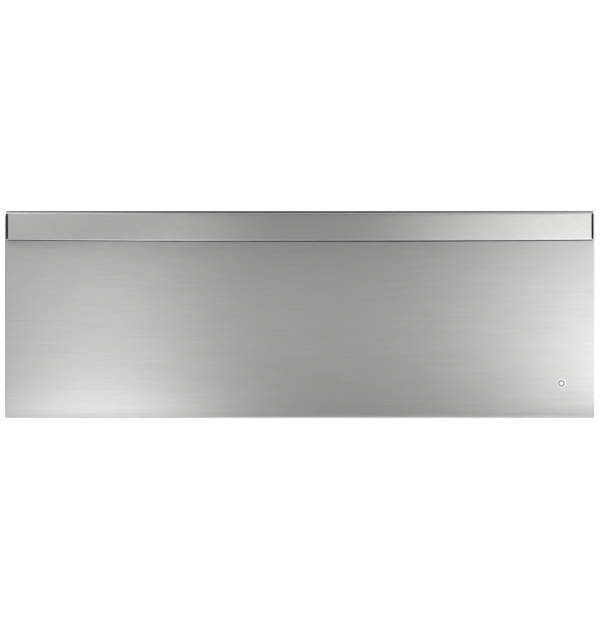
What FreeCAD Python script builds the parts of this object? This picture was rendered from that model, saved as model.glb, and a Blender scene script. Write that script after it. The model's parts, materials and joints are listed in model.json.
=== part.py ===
import FreeCAD
import Part
import math
import os

# Built-in warming drawer.  Millimetres.  +X right, +Y into the cabinet, +Z up.
# Origin: centre of the casing's flat underside.  The drawer opens towards -Y.

V = FreeCAD.Vector
X_AXIS = V(1, 0, 0)
Y_AXIS = V(0, 1, 0)
Z_AXIS = V(0, 0, 1)
SIDES = (1, -1)

# ---------------------------------------------------------------- casing
CASE_H = 220.0
CASE_D = 572.0
CASE_T = 1.0
CASE_FLANGE = 14.0
BASE_FRONT_FLANGE = 8.0
SWAGE_W = 18.0
SWAGE_H = 2.5
SWAGE_END = 45.0
BASE_SWAGE_PITCH = 120.0
SIDE_SWAGE_PITCH = 90.0
COVER_REAR_FLANGE = 15.0

# ---------------------------------------------------------------- heated cavity
CAVITY_SIDE = 34.0
CAVITY_FLOOR = 19.8
CAVITY_TOP = 184.0
CAVITY_R = 8.0
LINER_T = 0.8
LINER_FLANGE = 8.0
BACK_SPACE = 22.0

# ---------------------------------------------------------------- front frame
FRAME_D = 10.0
FRAME_T = 1.0
FRAME_LIP = 18.0
FRAME_SIDE_LIP = 28.0
FRAME_INSET = 4.0
FRAME_R = 1.5
CABINET_HOLE_R = 2.2
CABINET_HOLE_EDGE = 7.4
CABINET_HOLE_LOW = 25.0
CABINET_HOLE_HIGH = 215.0
FRAME_SCREW_EDGE = 9.0
FRAME_SCREW_LOW = 45.0
FRAME_SCREW_HIGH = 185.0

# ---------------------------------------------------------------- drawer front
FRONT_W = 755.6
FRONT_H = 260.4
FRONT_DROP = 4.0
FRONT_OVERLAP = 18.8
DOOR_D = 30.0
SKIN_T = 1.0
SKIN_R = 1.6
SKIN_LIP = 14.0
SEAL_GAP = 5.0
PANEL_T = 0.8
PANEL_INSET = 3.0
BOSS_H = 3.0
BOSS_SIDE = 7.0
BOSS_R = 14.0
GASKET_W = 7.0
GASKET_OUT = 2.0
RUN_CLEAR = 0.3
PAD_CLEAR = 0.3

# ---------------------------------------------------------------- handle
HANDLE_RISE = 5.8
HANDLE_H = 36.0
HANDLE_INSET = 1.7
HANDLE_END_PROUD = 20.0
HANDLE_BOW = 27.0
HANDLE_T = 1.2
HANDLE_R = 2.0
HANDLE_TOP_RETURN = 4.0
HANDLE_LOW_RETURN = 7.0
END_STRIP_W = 2.6
END_STRIP_R = 1.2
END_STRIP_FOOT = 1.3
CORE_T = 3.0
CORE_WALL_H = 20.0
CORE_BOSS_R = 5.0
CORE_BOSS_D = 8.0
CORE_RIB_T = 2.0
CORE_RIB_H = 12.0
CORE_RIB_PITCH = 94.0
CORE_RIBS = 7
HANDLE_SCREWS = 5
HANDLE_SCREW_END = 47.8
HANDLE_SCREW_DROP = 16.0
BACKING_T = 2.0
BACKING_H = 18.0

# ---------------------------------------------------------------- emblem
EMBLEM_R = 6.1
EMBLEM_H = 0.9
EMBLEM_RIM = 1.3
EMBLEM_DISH = 0.5
EMBLEM_DOME_R = 2.3
EMBLEM_SIDE = 42.5
EMBLEM_ABOVE = 45.0

# ---------------------------------------------------------------- telescopic slides
SLIDE_W = 13.0
SLIDE_H = 45.0
SLIDE_L = 530.0
SLIDE_T = 1.5
SLIDE_MID_T = 1.2
SLIDE_Z = 110.0
SLIDE_FRONT_GAP = 4.0
OUTER_BALL_R = 2.0
INNER_BALL_R = 1.75
RACE_CLEAR = 0.25
RACE_DEPTH = 0.6
OUTER_FLANGE_W = 11.0
MID_WEB_U = 4.1
MID_FLANGE_END = 11.1
INNER_FLANGE_U = 6.6
OUTER_BALL_U = 6.6
INNER_BALL_U = 8.9
CAGE_T = 0.6
CAGE_WEB_T = 0.5
OUTER_CAGE_U = 3.2
INNER_CAGE_U = 5.7
OUTER_CAGE_END = 9.2
INNER_CAGE_END = 11.1
CAGE_L = 240.0
CAGE_HOLE_CLEAR = 0.15
BALLS_PER_ROW = 4
ACCESS_HOLE_R = 5.0
SLIDE_FIXINGS = 3
SLIDE_SCREW_HEAD = 1.4
SLIDE_SCREW_TIP = 3.0

# ---------------------------------------------------------------- slide release levers
LEVER_Y = -125.0
LEVER_U = 7.4
LEVER_T = 2.8
LEVER_L = 46.0
LEVER_TAIL = 12.0
LEVER_R = 5.5
LEVER_TIP_R = 3.4
LEVER_PIN_R = 2.0
LEVER_PIN_CLEAR = 0.08

# ---------------------------------------------------------------- drawer body
RAIL_T = 1.2
RAIL_LOW = 60.0
RAIL_LEDGE = 18.0
RAIL_FOOT = 12.0
RAIL_TAB = 22.0
RAIL_TAIL_GAP = 7.0
RAIL_TAB_TOP_GAP = 12.0
RAIL_SCREW_UP = 25.0
RAIL_SCREW_DOWN = 35.0
RAIL_SCREW_GRIP = 6.0
SLIDE_SCREW_GRIP = 0.6
PAN_T = 0.9
PAN_BOTTOM = 46.0
PAN_RIM_Z = 176.0
PAN_RIM_W = 15.0
PAN_SIDE_CLEAR = 3.0
PAN_FRONT_GAP = 4.0
PAN_REAR_GAP = 16.0
PAN_R = 30.0
PAN_FLOOR_R = 12.0
PAN_LEDGE_CLEAR = 0.6
CROSSBAR_H = 60.0
CROSSBAR_REAR_GAP = 11.0
CROSSBAR_TOP = 17.0
CROSSBAR_FOOT = 10.0

# ---------------------------------------------------------------- half rack
RACK_W = 262.0
RACK_D = 440.0
RACK_H = 62.0
RACK_FRAME_R = 2.5
RACK_WIRE_R = 1.5
RACK_WIRES = 9
RACK_R = 24.0
RACK_FROM_WALL = 14.0
RACK_LEG_INSET = 46.0
RACK_WELD = 0.4

# ---------------------------------------------------------------- heater
TUBE_R = 4.0
TUBE_ABOVE = 5.0
TUBE_BEND = 34.0
TUBE_LEAD_X = 35.0
TUBE_SIDE = 80.0
TUBE_NEAR_X = 90.0
TUBE_REAR_Y = 190.0
TUBE_FRONT_Y = -205.0
TUBE_MID_Y = 50.0
TUBE_OUT = 8.0
HOLE_CLEAR = 0.4
CLIP_T = 1.2
CLIP_W = 18.0
CLIP_FOOT = 12.0
BLADE_W = 6.3
BLADE_T = 0.8
BLADE_L = 9.0
BUSH_R = 7.0
BUSH_L = 5.0
SHIELD_SIDE = 45.0
SHIELD_D = 462.0
SHIELD_Z = 38.0
SHIELD_T = 1.0
SHIELD_SLOTS = 7
SHIELD_SLOT_W = 8.0
SHIELD_SLOT_L = 150.0
SHIELD_SLOT_PITCH = 72.0
SHIELD_SLOT_GAP = 40.0
PROBE_R = 3.0
PROBE_L = 62.0
PROBE_WALL = 17.0
PROBE_Z = 34.0
PROBE_FLANGE_R = 9.0
LIMIT_X = 180.0
LIMIT_Z = 110.0
LIMIT_R = 8.0
LIMIT_L = 9.0

# ---------------------------------------------------------------- insulation and cradle
INS_CLEAR = 0.5
CRADLE_W = 40.0
CRADLE_Y = 170.0
CRADLE_FOOT = 14.0
CRADLE_T = 1.0
DOOR_PAD_TOP = 24.0
DOOR_PAD_SIDE = 17.0

# ---------------------------------------------------------------- rear terminal box
BOX_W = 150.0
BOX_LOW = 12.0
BOX_H = 66.0
BOX_D = 20.0
BOX_END_FLANGE = 12.0
BOX_R = 4.0
CONDUIT_R = 11.1
CONDUIT_X = 52.0
CONDUIT_UP = 42.0
BLOCK_W = 52.0
BLOCK_H = 18.0
BLOCK_D = 12.0
BLOCK_UP = 40.0
BLOCK_GAP = 12.0
BLOCK_WELL_R = 3.0
BLOCK_WELL_D = 4.0

# ---------------------------------------------------------------- controls
BEZEL_W = 200.0
BEZEL_H = 24.0
BEZEL_T = 2.0
BEZEL_R = 4.0
CONTROL_Z = 206.5
COLLAR_INSET = 7.0
COLLAR_DROP = 2.4
COLLAR_T = 1.2
COLLAR_D = 8.0
HOUSING_T = 1.5
HOUSING_SIDE = 4.0
HOUSING_D = 27.0
HOUSING_CLEAR = 2.0
BOARD_T = 1.6
BOARD_GAP = 2.0
BOARD_Y = 11.0
POST_R = 2.5
BUTTON_W = 20.0
BUTTON_H = 9.0
BUTTON_R = 2.0
BUTTON_PROUD = 1.0
BUTTON_TRAVEL = 1.0
BUTTON_CLEAR = 0.3
BUTTON_FLANGE = 1.2
BUTTON_FLANGE_T = 1.5
BUTTON_STEM_R = 1.5
BUTTON_PITCH = 32.0
BUTTON_FIRST_X = -20.0
BUTTON_NAMES = ("power_button", "heat_button", "proof_button", "timer_button")
BUTTON_DROP = 2.2
SWITCH_W = 6.0
SWITCH_D = 3.5
LED_R = 1.5
LED_UP = 7.4
WINDOW_W = 44.0
WINDOW_H = 14.0
WINDOW_X = -68.0

# ---------------------------------------------------------------- moisture vent
VENT_Z = 160.0
VENT_SLOT_W = 18.0
VENT_SLOT_H = 6.0
VENT_PITCH = 40.0
VENT_COUNT = 3
VENT_TRAVEL = 20.0
SLIDER_T = 1.0
SLIDER_END = 26.0
SLIDER_H = 13.0
SLIDER_MARGIN = 3.0
TAB_W = 16.0
TAB_H = 3.0
TAB_D = 5.0
GUIDE_R = 2.0
GUIDE_HEAD_R = 4.0
GUIDE_HEAD_T = 1.0
TOP_SLOTS = 9
TOP_SLOT_W = 30.0
TOP_SLOT_D = 4.0
TOP_SLOT_PITCH = 44.0

# ---------------------------------------------------------------- fasteners and bumpers
SCREW_HEAD_R = 3.6
SCREW_HEAD_H = 2.0
SCREW_R = 2.0
SLIDE_HEAD_R = 4.0
BUMPER_R = 6.0
BUMPER_SIDE = 21.8
BUMPER_FOOT = 8.0
BUMPER_HEAD = 16.4
BACK_SLOTS = 7
BACK_SLOT_L = 46.0
BACK_SLOT_H = 5.0
BACK_SLOT_PITCH = 62.0
BACK_SLOT_BELOW = 6.0
BACK_SLOT_ROWS = 2
BACK_SLOT_ROW_PITCH = 14.0
TIE_HOLE_R = 2.75
TIE_HOLE_SIDE = 59.0
TIE_W = 30.0
TIE_D = 18.0
TIE_H = 14.0
TIE_T = 1.0
TIE_CORNER_R = 5.0
BACK_SCREW_PITCH = 200.0

# ---------------------------------------------------------------- places that follow from the sizes
CASE_W = FRONT_W - 2 * FRONT_OVERLAP
CASE_X = CASE_W / 2
CASE_FRONT = -CASE_D / 2
CASE_BACK = CASE_D / 2
CAVITY_X = CASE_X - CAVITY_SIDE
CAVITY_BACK = CASE_BACK - CASE_T - BACK_SPACE - LINER_T
FRAME_FRONT = CASE_FRONT - FRAME_D
PANEL_BACK = FRAME_FRONT - SEAL_GAP
DOOR_BACK = PANEL_BACK - PANEL_T
DOOR_FACE = DOOR_BACK - DOOR_D
DOOR_X = FRONT_W / 2
DOOR_LOW = -FRONT_DROP
DOOR_TOP = FRONT_H - FRONT_DROP
BOSS_BACK = PANEL_BACK + BOSS_H
HANDLE_TOP = DOOR_TOP + HANDLE_RISE
HANDLE_LOW = HANDLE_TOP - HANDLE_H
HANDLE_X = DOOR_X - HANDLE_INSET
HANDLE_SCREW_PITCH = 2 * (DOOR_X - HANDLE_SCREW_END) / (HANDLE_SCREWS - 1)
HANDLE_BEND_R = (HANDLE_X**2 + HANDLE_BOW**2) / (2 * HANDLE_BOW)
HANDLE_CENTRE_Y = DOOR_FACE - HANDLE_END_PROUD - HANDLE_BOW + HANDLE_BEND_R
FRAME_X = DOOR_X - FRAME_INSET
FRAME_LOW = DOOR_LOW + FRAME_INSET
FRAME_SCREW_X = CASE_X - FRAME_SCREW_EDGE
EMBLEM_X = DOOR_X - EMBLEM_SIDE
FRAME_TOP = DOOR_TOP - FRAME_INSET
BUMPER_X = FRAME_X - BUMPER_SIDE
BACK_TOP = CASE_H - COVER_REAR_FLANGE
CABINET_HOLE_X = FRAME_X - CABINET_HOLE_EDGE
SLIDE_FRONT = CASE_FRONT + SLIDE_FRONT_GAP
SLIDE_BACK = SLIDE_FRONT + SLIDE_L
SLIDE_MID_Y = (SLIDE_FRONT + SLIDE_BACK) / 2
OUTER_RACE_R = OUTER_BALL_R + RACE_CLEAR
INNER_RACE_R = INNER_BALL_R + RACE_CLEAR
OUTER_ROOM = SLIDE_H / 2 - SLIDE_T
OUTER_BALL_V = OUTER_ROOM + RACE_DEPTH - OUTER_RACE_R
MID_V = OUTER_BALL_V - OUTER_RACE_R + RACE_DEPTH
MID_ROOM = MID_V - SLIDE_T
INNER_BALL_V = MID_ROOM + RACE_DEPTH - INNER_RACE_R
INNER_V = INNER_BALL_V - INNER_RACE_R + RACE_DEPTH
INNER_ROOM = INNER_V - SLIDE_T
RAIL_X = CAVITY_X - SLIDE_W
RAIL_BACK = CAVITY_BACK - RAIL_TAIL_GAP
PAN_FRONT = BOSS_BACK + PAN_FRONT_GAP
PAN_BACK = CAVITY_BACK - PAN_REAR_GAP
PAN_X = RAIL_X - PAN_SIDE_CLEAR
PAN_WALL_X = RAIL_X - RAIL_LEDGE - PAN_LEDGE_CLEAR
PAN_TOP = PAN_RIM_Z + PAN_T
CROSSBAR_BACK = CAVITY_BACK - CROSSBAR_REAR_GAP
TUBE_Z = CAVITY_FLOOR + TUBE_ABOVE + TUBE_R
TUBE_WIDE_X = CAVITY_X - TUBE_SIDE
SHIELD_W = 2 * (CAVITY_X - SHIELD_SIDE)
TIE_HOLE_SPACING = 2 * (CASE_X - TIE_HOLE_SIDE)
BOX_BACK = CASE_BACK + BOX_D
BEZEL_FRONT = FRAME_FRONT - BEZEL_T
COLLAR_X = BEZEL_W / 2 - COLLAR_INSET
COLLAR_Z = BEZEL_H / 2 - COLLAR_DROP
HOUSING_FRONT = FRAME_FRONT + FRAME_T
HOUSING_BACK = HOUSING_FRONT + HOUSING_D
BOARD_FRONT = HOUSING_FRONT + BOARD_Y
BUTTON_Z = CONTROL_Z - BUTTON_DROP
SHIELD_Y = (TUBE_REAR_Y + TUBE_FRONT_Y) / 2


# ---------------------------------------------------------------- drawing tools
def block(x0, x1, y0, y1, z0, z1):
    """Box between two corners."""
    return Part.makeBox(x1 - x0, y1 - y0, z1 - z0, V(x0, y0, z0))


def bar(radius, start, end):
    """Round bar from one point to another."""
    return Part.makeCylinder(radius, (end - start).Length, start, end - start)


def prism(points, run):
    """Straight extrusion of a closed outline."""
    return Part.Face(Part.makePolygon(points + [points[0]])).extrude(run)


def joined(shapes):
    """One shape fused from several, with the seams between flat faces removed."""
    return shapes[0].fuse(shapes[1:]).removeSplitter()


def mirrored(shape):
    """The left-hand twin of a right-hand shape."""
    return shape.mirror(V(0, 0, 0), X_AXIS)


def handed(shape, side):
    """The shape itself for the right side (1), its twin for the left (-1)."""
    return shape if side > 0 else mirrored(shape)


def spread(count, pitch):
    """Evenly spaced offsets about zero."""
    return [(i - (count - 1) / 2) * pitch for i in range(count)]


def rounded_outline(a0, a1, b0, b1, radius, place):
    """Closed wire of a rectangle with round corners; place turns (a, b) into a point."""
    s = radius * (1 - math.sqrt(0.5))
    corners = (
        ((a1 - radius, b0), (a1 - s, b0 + s), (a1, b0 + radius)),
        ((a1, b1 - radius), (a1 - s, b1 - s), (a1 - radius, b1)),
        ((a0 + radius, b1), (a0 + s, b1 - s), (a0, b1 - radius)),
        ((a0, b0 + radius), (a0 + s, b0 + s), (a0 + radius, b0)),
    )
    edges = []
    last = corners[-1][2]
    for first, middle, end in corners:
        if math.dist(last, first) > 1e-6:
            edges.append(Part.makeLine(place(*last), place(*first)))
        edges.append(Part.Arc(place(*first), place(*middle), place(*end)).toShape())
        last = end
    return Part.Wire(edges)


def plate_y(x0, x1, z0, z1, radius, y0, y1):
    """Upright plate with round corners, thick along Y."""
    wire = rounded_outline(x0, x1, z0, z1, radius, lambda a, b: V(a, y0, b))
    return Part.Face(wire).extrude(V(0, y1 - y0, 0))


def plate_z(x0, x1, y0, y1, radius, z0, z1):
    """Level plate with round corners, thick along Z."""
    wire = rounded_outline(x0, x1, y0, y1, radius, lambda a, b: V(a, b, z0))
    return Part.Face(wire).extrude(V(0, 0, z1 - z0))


def offset_line(points, thickness):
    """The open line of (a, b) points set over to its left by the thickness, with mitred corners."""
    normals = []
    for (a0, b0), (a1, b1) in zip(points, points[1:]):
        length = math.hypot(a1 - a0, b1 - b0)
        normals.append((-(b1 - b0) / length, (a1 - a0) / length))
    moved = []
    for i, (a, b) in enumerate(points):
        n0 = normals[max(i - 1, 0)]
        n1 = normals[min(i, len(normals) - 1)]
        scale = thickness / (1 + n0[0] * n1[0] + n0[1] * n1[1])
        moved.append((a + (n0[0] + n1[0]) * scale, b + (n0[1] + n1[1]) * scale))
    return moved


def folded_y(points, thickness, y0, y1):
    """Folded sheet whose (x, z) section runs along Y."""
    outline = points + offset_line(points, thickness)[::-1]
    return prism([V(x, y0, z) for x, z in outline], V(0, y1 - y0, 0))


def folded_x(points, thickness, x0, x1):
    """Folded sheet whose (y, z) section runs along X."""
    outline = points + offset_line(points, thickness)[::-1]
    return prism([V(x0, y, z) for y, z in outline], V(x1 - x0, 0, 0))


def frustum(at, along, across, rise, length, width, height):
    """Low four-sided hump with 45 degree flanks, standing on a face at a point."""
    outlines = []
    for level in (0, height):
        u = along * (length / 2 - level)
        v = across * (width / 2 - level)
        foot = at + rise * level
        corners = [foot - u - v, foot + u - v, foot + u + v, foot - u + v]
        outlines.append(Part.makePolygon(corners + corners[:1]))
    return Part.makeLoft(outlines, True, True)


def swaged(sheet, centres, across, inward, length):
    """The sheet with stiffening swages along Y pressed inwards from its outer face at each centre."""
    bend = CASE_T * (math.sqrt(2) - 1)
    for centre in centres:
        inner = centre + inward * CASE_T
        sheet = sheet.fuse(frustum(inner, Y_AXIS, across, inward, length, SWAGE_W, SWAGE_H))
        sheet = sheet.cut(frustum(centre, Y_AXIS, across, inward, length - 2 * bend,
                                  SWAGE_W - 2 * bend, SWAGE_H))
    return sheet


def bent_rod(points, radius, bend):
    """Round rod along straight runs joined by tangent arcs of one bend radius."""
    edges = []
    last = points[0]
    for before, corner, after in zip(points, points[1:], points[2:]):
        back = (before - corner).normalize()
        ahead = (after - corner).normalize()
        half = back.getAngle(ahead) / 2
        reach = bend / math.tan(half)
        start = corner + back * reach
        end = corner + ahead * reach
        inward = (back + ahead).normalize()
        middle = corner + inward * (bend / math.sin(half) - bend)
        edges.append(Part.makeLine(last, start))
        edges.append(Part.Arc(start, middle, end).toShape())
        last = end
    edges.append(Part.makeLine(last, points[-1]))
    path = Part.Wire(edges)
    section = Part.Wire([Part.makeCircle(radius, points[0], points[1] - points[0])])
    return path.makePipeShell([section], True, False)


def screw(head_at, direction, length, head_r=SCREW_HEAD_R, head_h=SCREW_HEAD_H):
    """Pan-head screw seated at head_at, its shank pointing along direction."""
    head = Part.makeCylinder(head_r, head_h, head_at - direction * head_h, direction)
    shank = Part.makeCylinder(SCREW_R, length, head_at, direction)
    return head.fuse(shank)


def screw_hole(at, direction, depth):
    """Clearance hole for a screw, cut through a sheet from either side."""
    return Part.makeCylinder(SCREW_R + HOLE_CLEAR, 2 * depth, at - direction * depth, direction)


def pilot_hole(at, direction, depth):
    """Hole that a screw's shank fills, cut through a sheet from either side."""
    return Part.makeCylinder(SCREW_R, 2 * depth, at - direction * depth, direction)


# ---------------------------------------------------------------- casing sheets
def frame_screw_places():
    """Where the front frame is screwed to the casing's front flanges."""
    return [V(side * FRAME_SCREW_X, FRAME_FRONT, z)
            for side in SIDES for z in (FRAME_SCREW_LOW, FRAME_SCREW_HIGH)]


def cover_screw_places():
    """Top cover screws, along both side flanges."""
    x = CASE_X - CASE_FLANGE / 2
    return [V(side * x, y, CASE_H) for side in SIDES for y in spread(3, 0.42 * CASE_D)]


def back_screw_places():
    """Seats of the screws into the base's rear flange; the outer two hold the tie-down brackets."""
    z = CASE_FLANGE / 2 + CASE_T / 2
    inner = [V(x, CASE_BACK, z) for x in spread(2, BACK_SCREW_PITCH)]
    outer = [V(side * TIE_HOLE_SPACING / 2, CASE_BACK + TIE_T, z) for side in SIDES]
    return inner + outer


def base_pan():
    """Bottom tray with swages and low flanges."""
    x = CASE_X - CASE_T
    line = [(-x, CASE_FLANGE), (-x, 0.0), (x, 0.0), (x, CASE_FLANGE)]
    tray = folded_y(line, CASE_T, CASE_FRONT, CASE_BACK - CASE_T)
    front = block(1 - CAVITY_X, CAVITY_X - 1, CASE_FRONT, CASE_FRONT + CASE_T, 0, BASE_FRONT_FLANGE)
    rear = block(-x, x, CASE_BACK - 2 * CASE_T, CASE_BACK - CASE_T, 0, CASE_FLANGE)
    holes = [pilot_hole(p, Y_AXIS, 3 * CASE_T + TIE_T) for p in back_screw_places()]
    centres = [V(at, 0, 0) for at in spread(4, BASE_SWAGE_PITCH)]
    tray = swaged(joined([tray, front, rear]), centres, X_AXIS, Z_AXIS, CASE_D - 2 * SWAGE_END)
    return tray.cut(holes).removeSplitter()


def side_panel(side):
    """Swaged side sheet with a top flange and a front flange for the frame."""
    line = [(CASE_X, 0.0), (CASE_X, CASE_H - CASE_T), (CASE_X - CASE_FLANGE, CASE_H - CASE_T)]
    wall = folded_y(line, CASE_T, CASE_FRONT, CASE_BACK - CASE_T)
    flange = block(CASE_X - CASE_FLANGE, CASE_X - CASE_T, CASE_FRONT, CASE_FRONT + CASE_T,
                   CASE_FLANGE, CASE_H - CASE_T)
    centres = [V(CASE_X, 0, CASE_H / 2 + z) for z in spread(2, SIDE_SWAGE_PITCH)]
    panel = swaged(joined([wall, flange]), centres, Z_AXIS, X_AXIS * -1, CASE_D - 2 * SWAGE_END)
    holes = [pilot_hole(p, Y_AXIS, 2 * FRAME_D) for p in frame_screw_places()]
    holes += [pilot_hole(p, Z_AXIS, 4 * CASE_T) for p in cover_screw_places()]
    return handed(panel, side).cut(holes).removeSplitter()


def top_cover():
    """Flat top with sunk swages and a rear flange that meets the back panel."""
    top = block(-CASE_X, CASE_X, CASE_FRONT, CASE_BACK, CASE_H - CASE_T, CASE_H)
    rear = block(-CASE_X, CASE_X, CASE_BACK - CASE_T, CASE_BACK,
                 CASE_H - COVER_REAR_FLANGE, CASE_H - CASE_T / 2)
    centres = [V(at, 0, CASE_H) for at in spread(4, BASE_SWAGE_PITCH)]
    cover = swaged(joined([top, rear]), centres, X_AXIS, Z_AXIS * -1, CASE_D - 2 * SWAGE_END)
    return cover.cut([screw_hole(p, Z_AXIS, 2 * CASE_T) for p in cover_screw_places()]).removeSplitter()


def back_panel():
    """Rear sheet with turned-in sides, two rows of vent slots and the heater lead holes."""
    x = CASE_X - CASE_T
    sheet = block(-CASE_X, CASE_X, CASE_BACK - CASE_T, CASE_BACK, CASE_T, BACK_TOP)
    sides = [handed(block(x - CASE_T, x, CASE_BACK - CASE_T - CASE_FLANGE, CASE_BACK - CASE_T,
                          CASE_FLANGE + CASE_T, BACK_TOP), s) for s in SIDES]
    cuts = [screw_hole(p, Y_AXIS, 2 * CASE_T + TIE_T) for p in back_screw_places()]
    for row in range(BACK_SLOT_ROWS):
        z = BACK_TOP - BACK_SLOT_BELOW - BACK_SLOT_H - row * BACK_SLOT_ROW_PITCH
        for at in spread(BACK_SLOTS, BACK_SLOT_PITCH):
            cuts.append(plate_y(at - BACK_SLOT_L / 2, at + BACK_SLOT_L / 2, z, z + BACK_SLOT_H,
                                0.49 * BACK_SLOT_H, CASE_BACK - 2 * CASE_T, CASE_BACK + CASE_T))
    for side in SIDES:
        at = side * TUBE_LEAD_X
        cuts.append(bar(BUSH_R - 1, V(at, CASE_BACK - 2 * CASE_T, TUBE_Z),
                        V(at, CASE_BACK + CASE_T, TUBE_Z)))
    return joined([sheet] + sides).cut(cuts)


def tie_down_brackets():
    """Two folded brackets behind the casing: a leg under a back screw, a foot for a screw into the shelf."""
    reach = 2 * TIE_CORNER_R
    brackets = []
    for side in SIDES:
        at = side * TIE_HOLE_SPACING / 2
        x0 = at - TIE_W / 2
        x1 = at + TIE_W / 2
        leg = plate_y(x0, x1, -reach, TIE_H, TIE_CORNER_R, CASE_BACK, CASE_BACK + TIE_T)
        foot = plate_z(x0, x1, CASE_BACK - reach, CASE_BACK + TIE_D, TIE_CORNER_R, 0, TIE_T)
        room = block(x0, x1, CASE_BACK, CASE_BACK + TIE_D, 0, TIE_H)
        bracket = joined([leg.common(room), foot.common(room)])
        bend = [e for e in bracket.Edges if e.BoundBox.YMax < CASE_BACK + 1e-6 and e.BoundBox.ZMax < 1e-6]
        bracket = bracket.makeFillet(2 * TIE_T, bend)
        centre_y = CASE_BACK + TIE_D / 2
        bracket = bracket.cut(bar(TIE_HOLE_R, V(at, centre_y, -TIE_T), V(at, centre_y, 2 * TIE_T)))
        brackets.append(bracket.cut([screw_hole(p, Y_AXIS, 2 * TIE_T) for p in back_screw_places()]))
    return Part.makeCompound(brackets)


def front_frame():
    """Hollow folded frame round the drawer opening, with a back lip that covers the cabinet edge."""
    outer = block(-FRAME_X, FRAME_X, FRAME_FRONT, CASE_FRONT, FRAME_LOW, FRAME_TOP)
    front_edges = [e for e in outer.Edges if abs(e.BoundBox.YMax - FRAME_FRONT) < 1e-6]
    outer = outer.makeFillet(FRAME_R, front_edges)
    opening = plate_y(-CAVITY_X, CAVITY_X, CAVITY_FLOOR, CAVITY_TOP, CAVITY_R,
                      FRAME_FRONT - 1, CASE_FRONT + 1)
    t = FRAME_T
    room = block(-FRAME_X + t, FRAME_X - t, FRAME_FRONT + t, CASE_FRONT - t,
                 FRAME_LOW + t, FRAME_TOP - t)
    mouth = block(-FRAME_X + FRAME_SIDE_LIP, FRAME_X - FRAME_SIDE_LIP, CASE_FRONT - 2 * t, CASE_FRONT + 1,
                  FRAME_LOW + FRAME_LIP, FRAME_TOP - FRAME_LIP)
    rim = plate_y(-CAVITY_X - t, CAVITY_X + t, CAVITY_FLOOR - t, CAVITY_TOP + t, CAVITY_R + t,
                  FRAME_FRONT, CASE_FRONT)
    window = block(-COLLAR_X - BUTTON_CLEAR, COLLAR_X + BUTTON_CLEAR, FRAME_FRONT - 1,
                   FRAME_FRONT + 2 * t, CONTROL_Z - COLLAR_Z - BUTTON_CLEAR,
                   CONTROL_Z + COLLAR_Z + BUTTON_CLEAR)
    cuts = [opening, window]
    for side in SIDES:
        for z in (CABINET_HOLE_LOW, CABINET_HOLE_HIGH):
            cuts.append(bar(CABINET_HOLE_R, V(side * CABINET_HOLE_X, FRAME_FRONT - 1, z),
                            V(side * CABINET_HOLE_X, CASE_FRONT + 1, z)))
    cuts += [screw_hole(p, Y_AXIS, 2 * FRAME_D) for p in frame_screw_places()]
    x = BEZEL_W / 2 + HOUSING_CLEAR
    z = BEZEL_H / 2 + HOUSING_CLEAR
    notch = block(-x, x, CASE_FRONT - 2 * t, CASE_FRONT + 1, CONTROL_Z - z, CONTROL_Z + z)
    shell = outer.cut([room, mouth, notch]).fuse(rim)
    return shell.cut(cuts).removeSplitter()


def cavity_box(grow, y0, y1):
    """The cavity's round-cornered section, grown outwards, between two depths."""
    return plate_y(-CAVITY_X - grow, CAVITY_X + grow, CAVITY_FLOOR - grow, CAVITY_TOP + grow,
                   CAVITY_R + grow, y0, y1)


def slide_fixing_ys():
    """Where each slide is fixed along its length."""
    return [SLIDE_MID_Y + y for y in spread(SLIDE_FIXINGS, 0.4 * SLIDE_L)]


def cavity_liner():
    """Heated inner box, open at the front, with an outward flange behind the frame."""
    outer = cavity_box(LINER_T, CASE_FRONT, CAVITY_BACK + LINER_T)
    flange = cavity_box(LINER_FLANGE, CASE_FRONT, CASE_FRONT + LINER_T)
    inside = cavity_box(0, CASE_FRONT - 1, CAVITY_BACK)
    cuts = [inside]
    for side in SIDES:
        lead = V(side * TUBE_LEAD_X, CAVITY_BACK - 1, TUBE_Z)
        cuts.append(bar(TUBE_R + HOLE_CLEAR, lead, lead + Y_AXIS * 4))
        for y in slide_fixing_ys():
            cuts.append(screw_hole(V(side * CAVITY_X, y, SLIDE_Z), X_AXIS, 3 * LINER_T))
    probe = V(CAVITY_X - PROBE_WALL, CAVITY_BACK - 1, PROBE_Z)
    cuts.append(bar(PROBE_R + HOLE_CLEAR, probe, probe + Y_AXIS * 4))
    return joined([outer, flange]).cut(cuts)


def cradle_channels():
    """Two hat-section channels across the base's swages that carry the liner."""
    top = CAVITY_FLOOR - LINER_T
    seat = CASE_T + SWAGE_H + CRADLE_T
    w = CRADLE_W / 2
    x = CAVITY_X - CRADLE_FOOT
    hats = []
    for y in (-CRADLE_Y, CRADLE_Y):
        line = [(y + w + CRADLE_FOOT, seat), (y + w, seat), (y + w, top),
                (y - w, top), (y - w, seat), (y - w - CRADLE_FOOT, seat)]
        hats.append(folded_x(line, CRADLE_T, -x, x))
    return Part.makeCompound(hats)


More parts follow.
